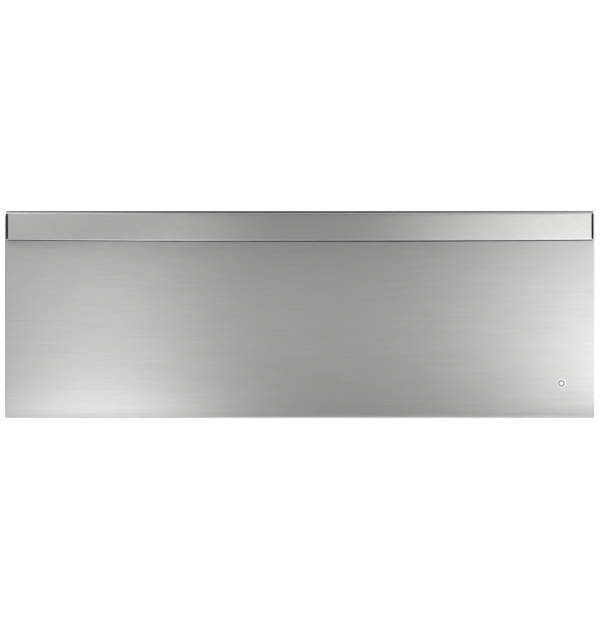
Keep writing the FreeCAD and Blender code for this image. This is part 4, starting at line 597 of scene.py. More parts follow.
@dataclass
class Shell:
    """The points and faces of one or more closed surfaces, in metres."""

    points: np.ndarray
    faces: list[np.ndarray]

    def __add__(self, other: "Shell") -> "Shell":
        """Both shells as one."""
        shift = len(self.points)
        return Shell(np.vstack([self.points, other.points]), self.faces + [f + shift for f in other.faces])

    def outward(self) -> "Shell":
        """Turns the faces round where the volume, the sum of a · (b × c) / 6, comes out negative.

        Returns:
            The shell with its faces outwards.
        """
        volume = 0.0
        for faces in self.faces:
            a, *others = np.moveaxis(self.points[faces], 1, 0)
            volume += sum(float(np.sum(a * np.cross(b, c))) for b, c in zip(others, others[1:]))
        return self if volume > 0 else Shell(self.points, [faces[:, ::-1] for faces in self.faces])

    def placed(self, at: Point, facing: Point) -> "Shell":
        """Turns the shell's +Z to facing and moves its origin to at."""
        turn = np.array(Vector(facing).to_track_quat("Z", "Y").to_matrix())
        return Shell(self.points @ turn.T + np.array(at), self.faces)

    def mesh(self, name: str, sharp_deg: float = 38.0) -> bpy.types.Mesh:
        """Makes the shell a mesh.

        Args:
            name: the mesh's name.
            sharp_deg: edges sharper than this stay sharp.

        Returns:
            The mesh.
        """
        made = bpy.data.meshes.new(name)
        made.from_pydata(self.points.tolist(), [], [f for faces in self.faces for f in faces.tolist()])
        smooth(made, sharp_deg)
        made.validate()
        return made


def joined(shells: Sequence[Shell]) -> Shell:
    """All the shells as one."""
    return sum(shells[1:], shells[0])


def capped(rings: np.ndarray, *poles: Sequence[float]) -> Shell:
    """Rings of points joined in turn, with a fan to a pole at each end.

    Args:
        rings: rows of closed rings, rows x points x 3.
        poles: before the first ring and after the last; the middles of those rings if left out.

    Returns:
        The closed shell.
    """
    rows, cols = rings.shape[:2]
    ring = np.arange(cols)
    beside = (ring + 1) % cols
    end = (rows - 1) * cols
    start_fan = np.stack([np.full(cols, rows * cols), beside, ring], -1)
    end_fan = np.stack([np.full(cols, rows * cols + 1), ring + end, beside + end], -1)
    points = np.vstack([rings.reshape(-1, 3), *(poles or rings[[0, -1]].mean(axis=1))])
    return Shell(points, [grid_faces(rows, cols), start_fan, end_fan]).outward()


def looped(rings: np.ndarray) -> Shell:
    """Rings of points joined in turn, the last to the first."""
    return Shell(rings.reshape(-1, 3), [grid_faces(*rings.shape[:2], wrap_rows=True)]).outward()


def revolved(profile: np.ndarray, around: int = 32) -> Shell:
    """A profile turned round Z: x = r cos t, y = r sin t, z = h.

    Args:
        profile: (radius, height) pairs; the first and last lie on the axis.
        around: points round the axis.

    Returns:
        The closed shell.
    """
    turn = full_turn(around)
    radius, height = profile[1:-1, 0:1], profile[1:-1, 1:2]
    rings = points_at(radius * np.cos(turn), radius * np.sin(turn), height)
    return capped(rings, *((0, 0, h) for h in profile[[0, -1], 1]))


def filleted(corners: Sequence[Point], bend: float, steps: int = 8) -> np.ndarray:
    """A line whose inner corners are rounded by arcs of one radius.

    Each arc turns evenly from one leg's touching point to the other's, about the point on the
    corner's bisector that is the bend's radius from both legs.

    Args:
        corners: the line's corners.
        bend: the arcs' radius.
        steps: pieces in each arc.

    Returns:
        The points of the line.
    """
    line = np.array(corners, float)
    share = np.linspace(0.0, 1.0, steps + 1)[:, None]
    points = [line[:1]]
    for before, corner, after in zip(line[:-2], line[1:-1], line[2:]):
        back, on = unit(before - corner), unit(after - corner)
        half = 0.5 * math.acos(float(back @ on))
        centre = corner + unit(back + on) * bend / math.sin(half)
        start, end = (corner + leg * bend / math.tan(half) - centre for leg in (back, on))
        angle = math.acos(float(start @ end) / bend**2)
        turned = np.sin((1 - share) * angle) * start + np.sin(share * angle) * end
        points.append(centre + turned / math.sin(angle))
    return np.vstack(points + [line[-1:]])


def rod(path: np.ndarray, radius: float, around: int = 12, closed: bool = False) -> Shell:
    """A circle carried along a flat line: p = path + r (cos t up + sin t side).

    up is square to the plane of the line and side is up × tangent. Open ends are half balls,
    whose rings have the radius r cos a at r sin a past the end.

    Args:
        path: the middle line, in one plane.
        radius: the rod's radius.
        around: points round the rod.
        closed: the line runs back to its start.

    Returns:
        The closed shell.
    """
    tangent = tangents(path, closed)
    up = np.linalg.svd(path - path.mean(axis=0))[2][2]
    size = np.full(len(path), radius)
    lean = np.radians([80.0, 55.0, 28.0])
    if not closed:
        reach, thin = np.sin(lean)[:, None] * radius, np.cos(lean) * radius
        path = np.vstack([path[0] - tangent[0] * reach, path, path[-1] + tangent[-1] * reach[::-1]])
        tangent = np.vstack([np.repeat(tangent[:1], 3, 0), tangent, np.repeat(tangent[-1:], 3, 0)])
        size = np.concatenate([thin, size, thin[::-1]])
    side = np.cross(up, tangent)
    turn = full_turn(around)[None, :, None]
    rings = path[:, None] + size[:, None, None] * (np.cos(turn) * up + np.sin(turn) * side[:, None])
    if closed:
        return looped(rings)
    tip = radius * (1 - math.sin(lean[0]))
    return capped(rings, path[0] - tangent[0] * tip, path[-1] + tangent[-1] * tip)


def ribbon(line: np.ndarray, width: float, near: float, far: float, closed: bool = False) -> Shell:
    """A stroke in the XZ plane: its line moved half its width each way, at two depths.

    Args:
        line: (x, z) points.
        width: the stroke's width.
        near: its front, along Y.
        far: its back, along Y.
        closed: the line runs back to its start.

    Returns:
        The closed shell.
    """
    tangent = tangents(line, closed)
    side = points_at(-tangent[:, 1], tangent[:, 0]) * width / 2
    edges = [(line + side, near), (line + side, far), (line - side, far), (line - side, near)]
    rings = np.stack([np.insert(edge, 1, depth, axis=1) for edge, depth in edges], axis=1)
    return looped(rings) if closed else capped(rings)


def round_corners(half_a: float, half_b: float, radius: float, steps: int) -> tuple[np.ndarray, np.ndarray]:
    """The corner centres and outward directions round a rectangle with round corners.

    A point at an offset d outside the outline is centre + (radius + d) direction.

    Args:
        half_a: half the rectangle's first side.
        half_b: half its second side.
        radius: its corners' radius.
        steps: pieces in each corner.

    Returns:
        The centre and the direction of each point round the outline.
    """
    turn = np.radians(np.add.outer(np.arange(4) * 90.0, np.linspace(0, 90, steps + 1)).ravel())
    signs = np.repeat([(1, 1), (-1, 1), (-1, -1), (1, -1)], steps + 1, axis=0)
    return signs * (half_a - radius, half_b - radius), points_at(np.cos(turn), np.sin(turn))


def arc(centre: Pair, radius: float, start_deg: float, end_deg: float, steps: int = 6) -> np.ndarray:
    """Points of an arc in a section: centre + radius (cos a, sin a), a from start to end."""
    turn = np.radians(np.linspace(start_deg, end_deg, steps + 1))
    return np.array(centre) + radius * points_at(np.cos(turn), np.sin(turn))


def bowed(x: np.ndarray, half: float, bow: float, depth: float = 0.0) -> np.ndarray:
    """How far back a circular bow is at x: R - √((R - depth)² - x²), with 2 R bow = half² + bow²."""
    radius = (half**2 + bow**2) / (2 * bow)
    return radius - np.sqrt((radius - depth) ** 2 - x**2)


# ------------------------------------------------------------------ pieces
def put(name: str, data: bpy.types.ID) -> bpy.types.Object:
    """Puts a new object in the scene.

    Args:
        name: its name.
        data: its mesh, lamp or camera.

    Returns:
        The object.
    """
    made = bpy.data.objects.new(name, data)
    bpy.context.scene.collection.objects.link(made)
    return made


def finished(name: str, blank: bpy.types.Object, *tools: bpy.types.Object) -> bpy.types.Mesh:
    """The mesh that a blank's modifiers make; the blank and its tools are removed.

    Args:
        name: the mesh's name.
        blank: the object with the modifiers.
        tools: other objects that they use.

    Returns:
        The mesh.
    """
    mesh = bpy.data.meshes.new_from_object(blank.evaluated_get(bpy.context.evaluated_depsgraph_get()))
    for spent in (blank, *tools):
        bpy.data.objects.remove(spent)
    mesh.name = name
    return mesh


@dataclass
class Workshop:
    """Where finished pieces are put on the object."""

    finishes: FinishBook

    def fit(self, name: str, shell: Shell, body: str, slot: str, *nodes: str,
            sharp_deg: float = 38.0) -> None:
        """Makes a piece of a shell and settles it; edges sharper than sharp_deg stay sharp."""
        self.settle(put(name, shell.mesh(name, sharp_deg)), body, slot, *nodes)

    def settle(self, piece: bpy.types.Object, body: str, slot: str, *nodes: str) -> bpy.types.Object:
        """Gives a piece the finish of its slot and its body, and hides the CAD nodes that it stands for.

        Args:
            piece: the object.
            body: the body it moves with.
            slot: the slot of its finish.
            nodes: the CAD nodes that it stands for.

        Returns:
            The piece.
        """
        self.finishes.dress(piece.data, slot)
        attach(piece, body)
        if nodes:
            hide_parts(*nodes)
        LOG.info("%s: %d faces on %s", piece.name, len(piece.data.polygons), body)
        return piece


class Drive(Enum):
    """The recess in a screw's head."""

    CROSS = "cross"
    SLOT = "slot"


@dataclass(frozen=True)
class Screw:
    """A machine screw: a domed head, a driver recess and a rolled thread. Its seat is the origin."""

    head_r: float = 3.6 * MM
    head_h: float = 2.0 * MM
    shank_r: float = 2.0 * MM
    length: float = 5.0 * MM
    drive: Drive = Drive.CROSS
    pitch: float = 1.0 * MM
    point_h: float = 1.2 * MM
    # shares of the head's radius: the recess, half an arm, the rings of points round the recess
    recess: float = 0.55
    arm: float = 0.11
    outer: Pair = (0.75, 0.96)
    # shares of the recess: its rings of points, where the arms' tips start to rise, the floor's rise
    inner: Pair = (0.12, 1.15)
    tip: float = 0.85
    floor: float = 0.3
    # shares of half an arm: its sloping side
    flank: Pair = (0.8, 1.25)
    # shares of the head's height
    sunk: float = 0.62
    dome: float = 0.4
    neck: float = 0.15
    # shares of the shank's radius: the thread's root, and what the point loses
    core: float = 0.8
    point: float = 0.35

    def head(self, around: int = 48) -> Shell:
        """The head: height h (1 - dome (r / R)³), less the recess where its arms run.

        Args:
            around: points round the head.

        Returns:
            The closed head.
        """
        recess, arm = self.recess * self.head_r, self.arm * self.head_r
        rings = (np.linspace(*self.inner, 9) * recess, np.linspace(*self.outer, 4) * self.head_r)
        radius = np.concatenate(rings)[:, None]
        turn = full_turn(around)
        x, y = radius * np.cos(turn), radius * np.sin(turn)
        depth = self.sunk * self.head_h * (1 - self.floor * radius / recess)
        across = np.abs(y) if self.drive is Drive.SLOT else np.minimum(np.abs(x), np.abs(y))
        inside = 1 - ease(across / arm, *self.flank)
        if self.drive is Drive.CROSS:
            inside = inside * (1 - ease(radius / recess, self.tip, 1.0))
        z = self.head_h * (1 - self.dome * (radius / self.head_r) ** 3) - depth * inside
        rim = np.array([(1.0, 0.42), (1.0, 0.06), (0.97, 0.0), (0.6, 0.0)]) * (self.head_r, self.head_h)
        side = points_at(rim[:, :1] * np.cos(turn), rim[:, :1] * np.sin(turn), rim[:, 1:])
        pole = self.head_h - self.sunk * self.head_h
        return capped(np.concatenate([points_at(x, y, z), side]), (0, 0, pole), (0, 0, 0))

    def shank(self, around: int = 16, per_turn: int = 5) -> Shell:
        """The thread: radius core + depth (1 - |2 f - 1|), f = the fraction of z / pitch - t / 2π.

        Args:
            around: points round the shank.
            per_turn: rings of points in one turn of the thread.

        Returns:
            The closed shank, from just inside the head to its tip.
        """
        turn = full_turn(around)
        start = self.neck * self.head_h
        count = max(per_turn + 1, int(per_turn * self.length / self.pitch))
        z = np.linspace(start, -self.length, count)[:, None]
        wave = 1 - np.abs(2 * np.mod(z / self.pitch - turn / (2 * np.pi), 1.0) - 1)
        core = self.core * self.shank_r
        narrow = 1 - self.point * ease(-z, self.length - self.point_h, self.length)
        radius = (core + (self.shank_r - core) * wave) * narrow
        rings = points_at(radius * np.cos(turn), radius * np.sin(turn), z)
        return capped(rings, (0, 0, start), (0, 0, -self.length))

    def at(self, place: Point, facing: Point) -> Shell:
        """The whole screw on its seat, its head facing out."""
        return (self.head() + self.shank()).placed(place, facing)


@dataclass
class Fasteners:
    """Every screw that holds the casing, the slides, the handle and the drawer together."""

    frame_x: float = 350 * MM
    frame_y: float = -296 * MM
    frame_z: Pair = (45 * MM, 185 * MM)
    cover_x: float = 352 * MM
    cover_y: Row = (-240.24 * MM, 0.0, 240.24 * MM)
    cover_z: float = 220 * MM
    back_z: float = 7.5 * MM
    back_seats: tuple[Pair, ...] = ((-100 * MM, 286 * MM), (100 * MM, 286 * MM),
                                                   (-300 * MM, 287 * MM), (300 * MM, 287 * MM))
    box_seat: Point = (69 * MM, 307 * MM, 45 * MM)
    slide_y: Row = (-229 * MM, -17 * MM, 195 * MM)
    slide_z: float = 110 * MM
    slide_seat_x: float = 323.5 * MM
    rail_seat_x: float = 310.8 * MM
    tab_seat: Pair = (301 * MM, -296.8 * MM)
    tab_z: Pair = (85 * MM, 141 * MM)
    handle_y: float = -328.8 * MM
    handle_z: float = 246.2 * MM
    handle_pitch: float = 165 * MM
    well_x: Row = (-14.433 * MM, 2.9 * MM, 20.233 * MM)
    well_y: float = 294 * MM
    well_z: float = 61 * MM

    def casing(self) -> Shell:
        """Frame, cover, back and terminal cover screws.

        Returns:
            All of them.
        """
        long, short = Screw(length=14 * MM), Screw()
        x, y, z = self.box_seat
        screws = [short.at((across, along, self.back_z), BACKWARD) for across, along in self.back_seats]
        for s in SIDES:
            screws += [long.at((s * self.frame_x, self.frame_y, up), FORWARD) for up in self.frame_z]
            screws += [short.at((s * self.cover_x, along, self.cover_z), UPWARD) for along in self.cover_y]
            screws.append(short.at((s * x, y, z), BACKWARD))
        return joined(screws)

    def beside_slides(self, screw: Screw, seat_x: float) -> list[Shell]:
        """Screws along both slides, facing the middle."""
        return [screw.at((s * seat_x, y, self.slide_z), (-s, 0, 0)) for s in SIDES for y in self.slide_y]

    def drawer(self) -> Shell:
        """Screws of the rails: into the door and into the drawer members.

        Returns:
            All of them.
        """
        x, y = self.tab_seat
        tab = Screw(length=8 * MM)
        screws = [tab.at((s * x, y, z), BACKWARD) for s in SIDES for z in self.tab_z]
        return joined(screws + self.beside_slides(Screw(length=3.3 * MM), self.rail_seat_x))

    def build(self, shop: Workshop) -> None:
        """Puts every screw in place: wide low heads on the slides, and slotted heads in the block's wells.

        Args:
            shop: where the pieces go.
        """
        low = Screw(head_r=4 * MM, head_h=1.4 * MM, length=5.3 * MM)
        inside = Screw(length=9.5 * MM)
        clamp = Screw(head_r=2.6 * MM, head_h=1.8 * MM, shank_r=1.5 * MM, length=2 * MM, drive=Drive.SLOT)
        handle = [inside.at((i * self.handle_pitch, self.handle_y, self.handle_z), BACKWARD)
                  for i in range(-2, 3)]
        clamps = [clamp.at((x, self.well_y, self.well_z), BACKWARD) for x in self.well_x]
        slides = self.beside_slides(low, self.slide_seat_x)
        shop.fit("casing_cross_screws", self.casing(), "casing", "screw_steel", "casing_screws")
        shop.fit("slide_truss_screws", joined(slides), "casing", "screw_steel", "slide_screws")
        shop.fit("drawer_cross_screws", self.drawer(), "drawer", "screw_steel", "drawer_screws")
        shop.fit("handle_cross_screws", joined(handle), "drawer", "screw_steel", "handle_screws")
        shop.fit("terminal_clamp_screws", joined(clamps), "casing", "sensor_metal")


@dataclass
class Badge:
    """The plain round badge low on the right of the front: a ring, a sunk dish and a centre stud."""

    centre: Point = (335.3 * MM, -331.8 * MM, 41.0 * MM)
    radius: float = 6.1 * MM
    height: float = 0.9 * MM
    rim: float = 1.7 * MM
    dish: float = 0.35 * MM
    stud_r: float = 2.2 * MM
    edge: float = 0.2 * MM
    slope: float = 0.1 * MM

    def shell(self) -> Shell:
        """A flat-topped ring and stud with rounded edges round a dish, turned as one profile.

        Returns:
            The closed badge, in place.
        """
        e, top = self.edge, self.height
        inner = self.radius - self.rim
        profile = np.vstack([
            [(0, 0), (self.radius, 0)],
            arc((self.radius - e, top - e), e, 0, 90),
            arc((inner + e, top - e), e, 90, 180),
            [(inner - self.slope, self.dish), (self.stud_r + self.slope, self.dish)],
            arc((self.stud_r - e, top - e), e, 0, 90),
            [(0.5 * self.stud_r, top), (0, top)],
        ])
        return revolved(profile, around=64).placed(self.centre, FORWARD)

    def build(self, shop: Workshop) -> None:
        """Fixes the badge to the front."""
        shop.fit("round_badge", self.shell(), "drawer", "badge_chrome", "emblem", sharp_deg=50)


@dataclass
class HandleSkin:
    """The handle's folded steel channel on its circular bow, notched at the ends for the black strips."""

    bow: float = 27 * MM
    sheet: float = 1.2 * MM
    bend: float = 2.0 * MM
    top_return: float = 4.0 * MM
    low_return: float = 7.0 * MM
    hold: float = 0.3 * MM
    notch: float = 2.6 * MM
    notch_foot: float = 1.3 * MM
    notch_r: float = 1.2 * MM
    stations: int = 161

    def channel(self) -> Shell:
        """The fold carried along the bow.

        The fold is one line at two depths, so each end is closed by quads between them. A row of
        points a hold away from each bend keeps the face flat between them.

        Returns:
            The closed channel.
        """
        (_, front, low), (half, _, high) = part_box("handle_skin")
        r = self.bend
        sides = [np.vstack([
            [(self.low_return, low + inset)],
            arc((r, low + r), r - inset, 270, 180, 8),
            [(inset, low + r + self.hold), (inset, high - r - self.hold)],
            arc((r, high - r), r - inset, 180, 90, 8),
            [(self.top_return, high - inset)],
        ]) for inset in (0.0, self.sheet)]
        section = np.vstack([sides[0], sides[1][::-1]])
        x = np.linspace(-half, half, self.stations)[:, None]
        rings = points_at(x, front + bowed(x, half, self.bow, section[:, 0]), section[:, 1])
        rows, cols = rings.shape[:2]
        step = np.arange(cols // 2 - 1)
        end = np.stack([step + 1, step, cols - 1 - step, cols - 2 - step], -1)
        caps = [end, end[:, ::-1] + (rows - 1) * cols]
        return Shell(rings.reshape(-1, 3), [grid_faces(rows, cols), *caps]).outward()

    def notches(self) -> Shell:
        """Round-cornered uprights through the ends of the channel.

        Returns:
            Both uprights.
        """
        (_, front, low), (half, back, high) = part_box("handle_skin")
        foot, head = low + self.notch_foot, high - self.bend
        centre, way = round_corners(self.notch, (head - foot) / 2, self.notch_r, 8)
        uprights = []
        for side in SIDES:
            outline = centre + self.notch_r * way + (side * half, (foot + head) / 2)
            depths = (front - self.bow, back + self.bow)
            uprights.append(capped(np.stack([np.insert(outline, 1, y, axis=1) for y in depths])))
        return joined(uprights)

    def build(self, shop: Workshop) -> None:
        """Cuts the notches and puts the skin over the core.

        Args:
            shop: where the piece goes.
        """
        name = "bowed_handle_skin"
        blank, tool = (put(part, shell.mesh(part)) for part, shell in
                       ((name + "_blank", self.channel()), (name + "_tool", self.notches())))
        cut = blank.modifiers.new("cut", "BOOLEAN")
        cut.solver = "EXACT"
        cut.object = tool
        skin = put(name, finished(name, blank, tool))
        smooth(skin.data)
        shop.settle(skin, "drawer", "front_steel", "handle_skin")


@dataclass
class HandleShadeLip:
    """A thin lip in the core's black under the handle's steel: painted shade, a dark line that stands in for
    the shadowed gap under the handle.
    """

    half: float = 374.6 * MM
    bow: float = 27 * MM
    front: float = -378.8 * MM
    inset: float = 0.9 * MM
    depth: float = 9.0 * MM
    top: float = 226.25 * MM
    height: float = 0.8 * MM
    nose: float = 0.3 * MM
    stations: int = 97

    def shell(self) -> Shell:
        """A flat section with a rounded nose, carried along the handle's circular bow.

        Returns:
            The closed lip.
        """
        x = np.linspace(-self.half, self.half, self.stations)[:, None]
        low, back = self.top - self.height, self.inset + self.depth
        section = np.vstack([
            [(self.inset, self.top), (back, self.top), (back, low)],
            arc((self.inset + self.nose, low + self.nose), self.nose, 270, 180, 4),
        ])
        y = self.front + bowed(x, self.half, self.bow) + section[:, 0]
        return capped(points_at(x, y, section[:, 1]))

    def build(self, shop: Workshop) -> None:
        """Puts the lip under the handle."""
        # painted shade: a black strip where the gap under the handle is in shadow
        shop.fit("handle_shade_lip", self.shell(), "drawer", "black_moulding")


@dataclass
class Seals:
    """The soft seal on the inner panel and the buffers on the frame."""

    half_x: float = 327 * MM
    half_z: float = 84.1 * MM
    middle_z: float = 101.9 * MM
    corner: float = 10 * MM
    width: float = 7 * MM
    back: float = -301 * MM
    tip: float = -296.3 * MM
    buffer_x: float = 352 * MM
    buffer_z: Pair = (8 * MM, 236 * MM)
    buffer_r: float = 6 * MM
    buffer_y: float = -296 * MM
    buffer_h: float = 4.7 * MM
    # the section: powers of the cosine and the sine, and shares of the width and of the half height
    square: Pair = (0.8, 0.6)
    bulb: float = 0.26
    bulb_from: Pair = (-0.75, 0.1)
    waist: float = 0.12
    waist_at: float = -0.25
    waist_reach: float = 0.3

    def gasket(self) -> Shell:
        """A foot, a waist and a narrower bulb, carried round the mouth.

        The section is (half width |cos a|^0.8, half height |sin a|^0.6), each with its own sign.
        The half width eases down from the foot to the bulb and dips at the waist.

        Returns:
            The closed loop of seal.
        """
        turn = full_turn(28)
        run, rise = (np.sign(part) * np.abs(part) ** power
                     for part, power in zip((np.cos(turn), np.sin(turn)), self.square))
        dip = self.waist * np.exp(-((rise - self.waist_at) / self.waist_reach) ** 2)
        out = self.width / 2 * (1 + run * (1 - self.bulb * ease(rise, *self.bulb_from) - dip))
        depth = (self.back + self.tip) / 2 + (self.tip - self.back) / 2 * rise
        centre, way = round_corners(self.half_x, self.half_z, self.corner, 10)
        flat = centre[:, None] + (self.corner + out)[:, None] * way[:, None]
        return looped(points_at(flat[..., 0], depth, flat[..., 1] + self.middle_z))

    def buffers(self) -> Shell:
        """Four turned buffers with two grip rings and a dimple, in shares of their radius and height.

        Returns:
            All four.
        """
        profile = np.array([(0, 0), (0.94, 0), (1, 0.06), (1, 0.2), (0.93, 0.26), (0.93, 0.34), (1, 0.4),
                            (1, 0.52), (0.94, 0.58), (0.93, 0.72), (0.86, 0.9), (0.76, 0.98), (0.66, 1),
                            (0.4, 1), (0.28, 0.93), (0.12, 0.86), (0, 0.84)])
        pad = revolved(profile * (self.buffer_r, self.buffer_h), around=40)
        return joined([pad.placed((s * self.buffer_x, self.buffer_y, z), FORWARD)
                       for s in SIDES for z in self.buffer_z])

    def build(self, shop: Workshop) -> None:
        """Fits the seal and the buffers."""
        shop.fit("bulb_seal", self.gasket(), "drawer", "seal_rubber", "door_gasket")
        shop.fit("ribbed_buffers", self.buffers(), "casing", "bumper_rubber", "frame_bumpers", sharp_deg=60)


@dataclass
class Pan:
    """The deep-drawn pan that hangs on the rails by its rim."""

    half_x: float = 293.4 * MM
    front: float = -279.0 * MM
    back: float = 231.2 * MM
    corner: float = 30 * MM
    rim: float = 15 * MM
    sheet: float = 0.9 * MM
    bottom: float = 46 * MM
    rim_z: float = 176 * MM
    floor_r: float = 12 * MM
    draw_r: float = 0.6 * MM

    def shell(self) -> Shell:
        """The wall's section carried round a rectangle with round corners, floor closed to its middle.

        The section runs from under the floor, up the outside, round the rim and down the inside;
        the inner radii are the outer ones less or plus the sheet.

        Returns:
            The closed pan.
        """
        t, low, high = self.sheet, self.bottom, self.rim_z
        inmost = -0.98 * self.corner
        section = np.vstack([
            [(inmost, low)],
            arc((-self.floor_r, low + self.floor_r), self.floor_r, -90, 0, 8),
            arc((self.draw_r, high - self.draw_r), self.draw_r, 180, 90, 4),
            arc((self.rim - t / 2, high + t / 2), t / 2, -90, 90, 6),
            arc((self.draw_r, high - self.draw_r), self.draw_r + t, 90, 180, 6),
            arc((-self.floor_r, low + self.floor_r), self.floor_r - t, 0, -90, 8),
            [(inmost, low + t)],
        ])
        middle = (self.front + self.back) / 2
        centre, way = round_corners(self.half_x, (self.back - self.front) / 2, self.corner, 12)
        flat = centre + (self.corner + section[:, :1, None]) * way + (0, middle)
        rings = points_at(flat[..., 0], flat[..., 1], section[:, 1:])
        return capped(rings, (0, middle, low), (0, middle, low + t))

    def build(self, shop: Workshop) -> None:
        """Hangs the pan on the rails."""
        shop.fit("drawn_pan", self.shell(), "drawer", "pan_steel", "warming_pan", sharp_deg=30)


@dataclass
class Rack:
    """The wire rack in the right half of the pan."""

    x: Pair = (17.4 * MM, 279.4 * MM)
    y: Pair = (-243.9 * MM, 196.1 * MM)
    frame_z: float = 106.4 * MM
    foot_z: float = 49.4 * MM
    frame_r: float = 2.5 * MM
    wire_r: float = 1.5 * MM
    weld: float = 0.4 * MM
    wire_weld: Point = (2.1 * MM, 2.4 * MM, 0.9 * MM)
    leg_weld: Point = (2.6 * MM, 2.6 * MM, 1.1 * MM)
    corner: float = 24 * MM
    wires: int = 9
    leg_inset: float = 46 * MM
    leg_bend: float = 24.8 * MM

    def nugget(self, at: Point, size: Point) -> Shell:
        """A weld between two rods: a ball at a point, with its half width, depth and height."""
        ball = revolved(arc((0, 0), 1.0, -90, 90), around=12)
        return Shell(ball.points * np.array(size) + np.array(at), ball.faces)

    def shell(self) -> Shell:
        """Frame, cross wires, legs and welds, each a circle carried along its line.

        Returns:
            The whole rack.
        """
        (x0, x1), (y0, y1), z = self.x, self.y, self.frame_z
        centre, way = round_corners((x1 - x0) / 2, (y1 - y0) / 2, self.corner, 10)
        loop = centre + self.corner * way + ((x0 + x1) / 2, (y0 + y1) / 2)
        rods = [rod(np.insert(loop, 2, z, axis=1), self.frame_r, around=14, closed=True)]
        wire_z = z + self.frame_r + self.wire_r - self.weld
        for y in np.linspace(y0 + self.corner, y1 - self.corner, self.wires):
            rods.append(rod(np.linspace((x0, y, wire_z), (x1, y, wire_z), 5), self.wire_r))
            rods += [self.nugget((x, y, z + self.frame_r), self.wire_weld) for x in (x0, x1)]
        leg_z = z - 2 * self.frame_r + self.weld
        for x in (x0 + self.leg_inset, x1 - self.leg_inset):
            near, far = y0 + self.leg_inset, y1 - self.leg_inset
            line = [(x, y0, leg_z), (x, near, leg_z), (x, near, self.foot_z),
                    (x, far, self.foot_z), (x, far, leg_z), (x, y1, leg_z)]
            rods.append(rod(filleted(line, self.leg_bend), self.frame_r, around=14))
            rods += [self.nugget((x, y, z - self.frame_r), self.leg_weld) for y in (y0, y1)]
        return joined(rods)

    def build(self, shop: Workshop) -> None:
        """Stands the rack in the pan."""
        shop.fit("wire_rack", self.shell(), "drawer", "rack_chrome", "half_rack", sharp_deg=60)


@dataclass
class ControlMarks:
    """Printed symbols on the four buttons and the segments of the display."""

    button_x: Row = (-20 * MM, 12 * MM, 44 * MM, 76 * MM)
    button_z: float = 204.3 * MM
    cap_y: float = -299.0 * MM
    ink: float = 0.04 * MM
    stroke: float = 0.45 * MM
    size: float = 2.4 * MM
    display: Pair = (-68 * MM, 206.5 * MM)
    display_front: float = -289.08 * MM
    display_back: float = -288.98 * MM
    digit_pitch: float = 8.4 * MM
    digit_w: float = 4.4 * MM
    digit_h: float = 8.0 * MM
    bar: float = 0.7 * MM
    bar_gap: float = 0.35 * MM
    dot: float = 0.3 * MM
    dot_z: float = 1.6 * MM

    def draw(self, line: np.ndarray, at: Pair, closed: bool = False) -> Shell:
        """A stroke of ink along a line, about a button's middle."""
        return ribbon(line * self.size + at, self.stroke, self.cap_y - self.ink, self.cap_y + self.ink,
                      closed)

    def circle(self, start: float = 0.0, end: float = 360.0, steps: int = 33) -> np.ndarray:
        """Points (sin a, cos a) round a unit circle, from the top."""
        turn = np.radians(np.linspace(start, end, steps))
        return points_at(np.sin(turn), np.cos(turn))

    def symbols(self) -> dict[str, Shell]:
        """The symbol of each button: a broken ring, rising waves, a risen loaf, a clock.

        Returns:
            One shell for each button.
        """
        power, heat, proof, timer = [(x, self.button_z) for x in self.button_x]
        up = np.linspace(-0.9, 0.9, 17)
        waves = [points_at(0.16 * np.sin(3.4 * up) + shift, up) for shift in (-0.65, 0.0, 0.65)]
        loaf = self.circle(-75, 75, 21) * (1.1, 0.9) + (0, -0.2)
        hands = np.array([(0, 0.65), (0, 0.3), (0, 0.0), (0.22, -0.1), (0.45, -0.2)])
        bar, board = np.linspace((0, 0.2), (0, 1.15), 3), np.linspace((-1.2, -0.75), (1.2, -0.75), 3)
        return {
            "power": self.draw(self.circle(40, 320), power) + self.draw(bar, power),
            "heat": joined([self.draw(wave, heat) for wave in waves]),
            "proof": self.draw(loaf, proof) + self.draw(board, proof),
            "timer": self.draw(self.circle()[:-1], timer, True) + self.draw(hands, timer),
        }

    def segments(self) -> Shell:
        """Four unlit seven-segment figures with a colon between the pairs.

        Returns:
            The segments, just proud of the display module.
        """
        w, h, gap = self.digit_w / 2, self.digit_h / 2, self.bar_gap
        bars = [((-w + gap, z), (w - gap, z)) for z in (-h, 0.0, h)]
        bars += [((x, z + gap), (x, z + h - gap)) for x in (-w, w) for z in (-h, 0.0)]
        strokes = [np.linspace(a, b, 3) + (place * self.digit_pitch, 0)
                   for place in (-1.5, -0.5, 0.5, 1.5) for a, b in bars]
        strokes += [np.linspace((0, z - self.dot), (0, z + self.dot), 3) for z in (-self.dot_z, self.dot_z)]
        return joined([ribbon(line + self.display, self.bar, self.display_front, self.display_back)
                       for line in strokes])

    def build(self, shop: Workshop) -> None:
        """Prints the buttons and fits the display's segments.

        Args:
            shop: where the pieces go.
        """
        for name, shell in self.symbols().items():
            shop.fit(f"{name}_symbol", shell, f"{name}_button", "terminal_resin")
        shop.fit("display_segments", self.segments(), "casing", "ceramic_white")


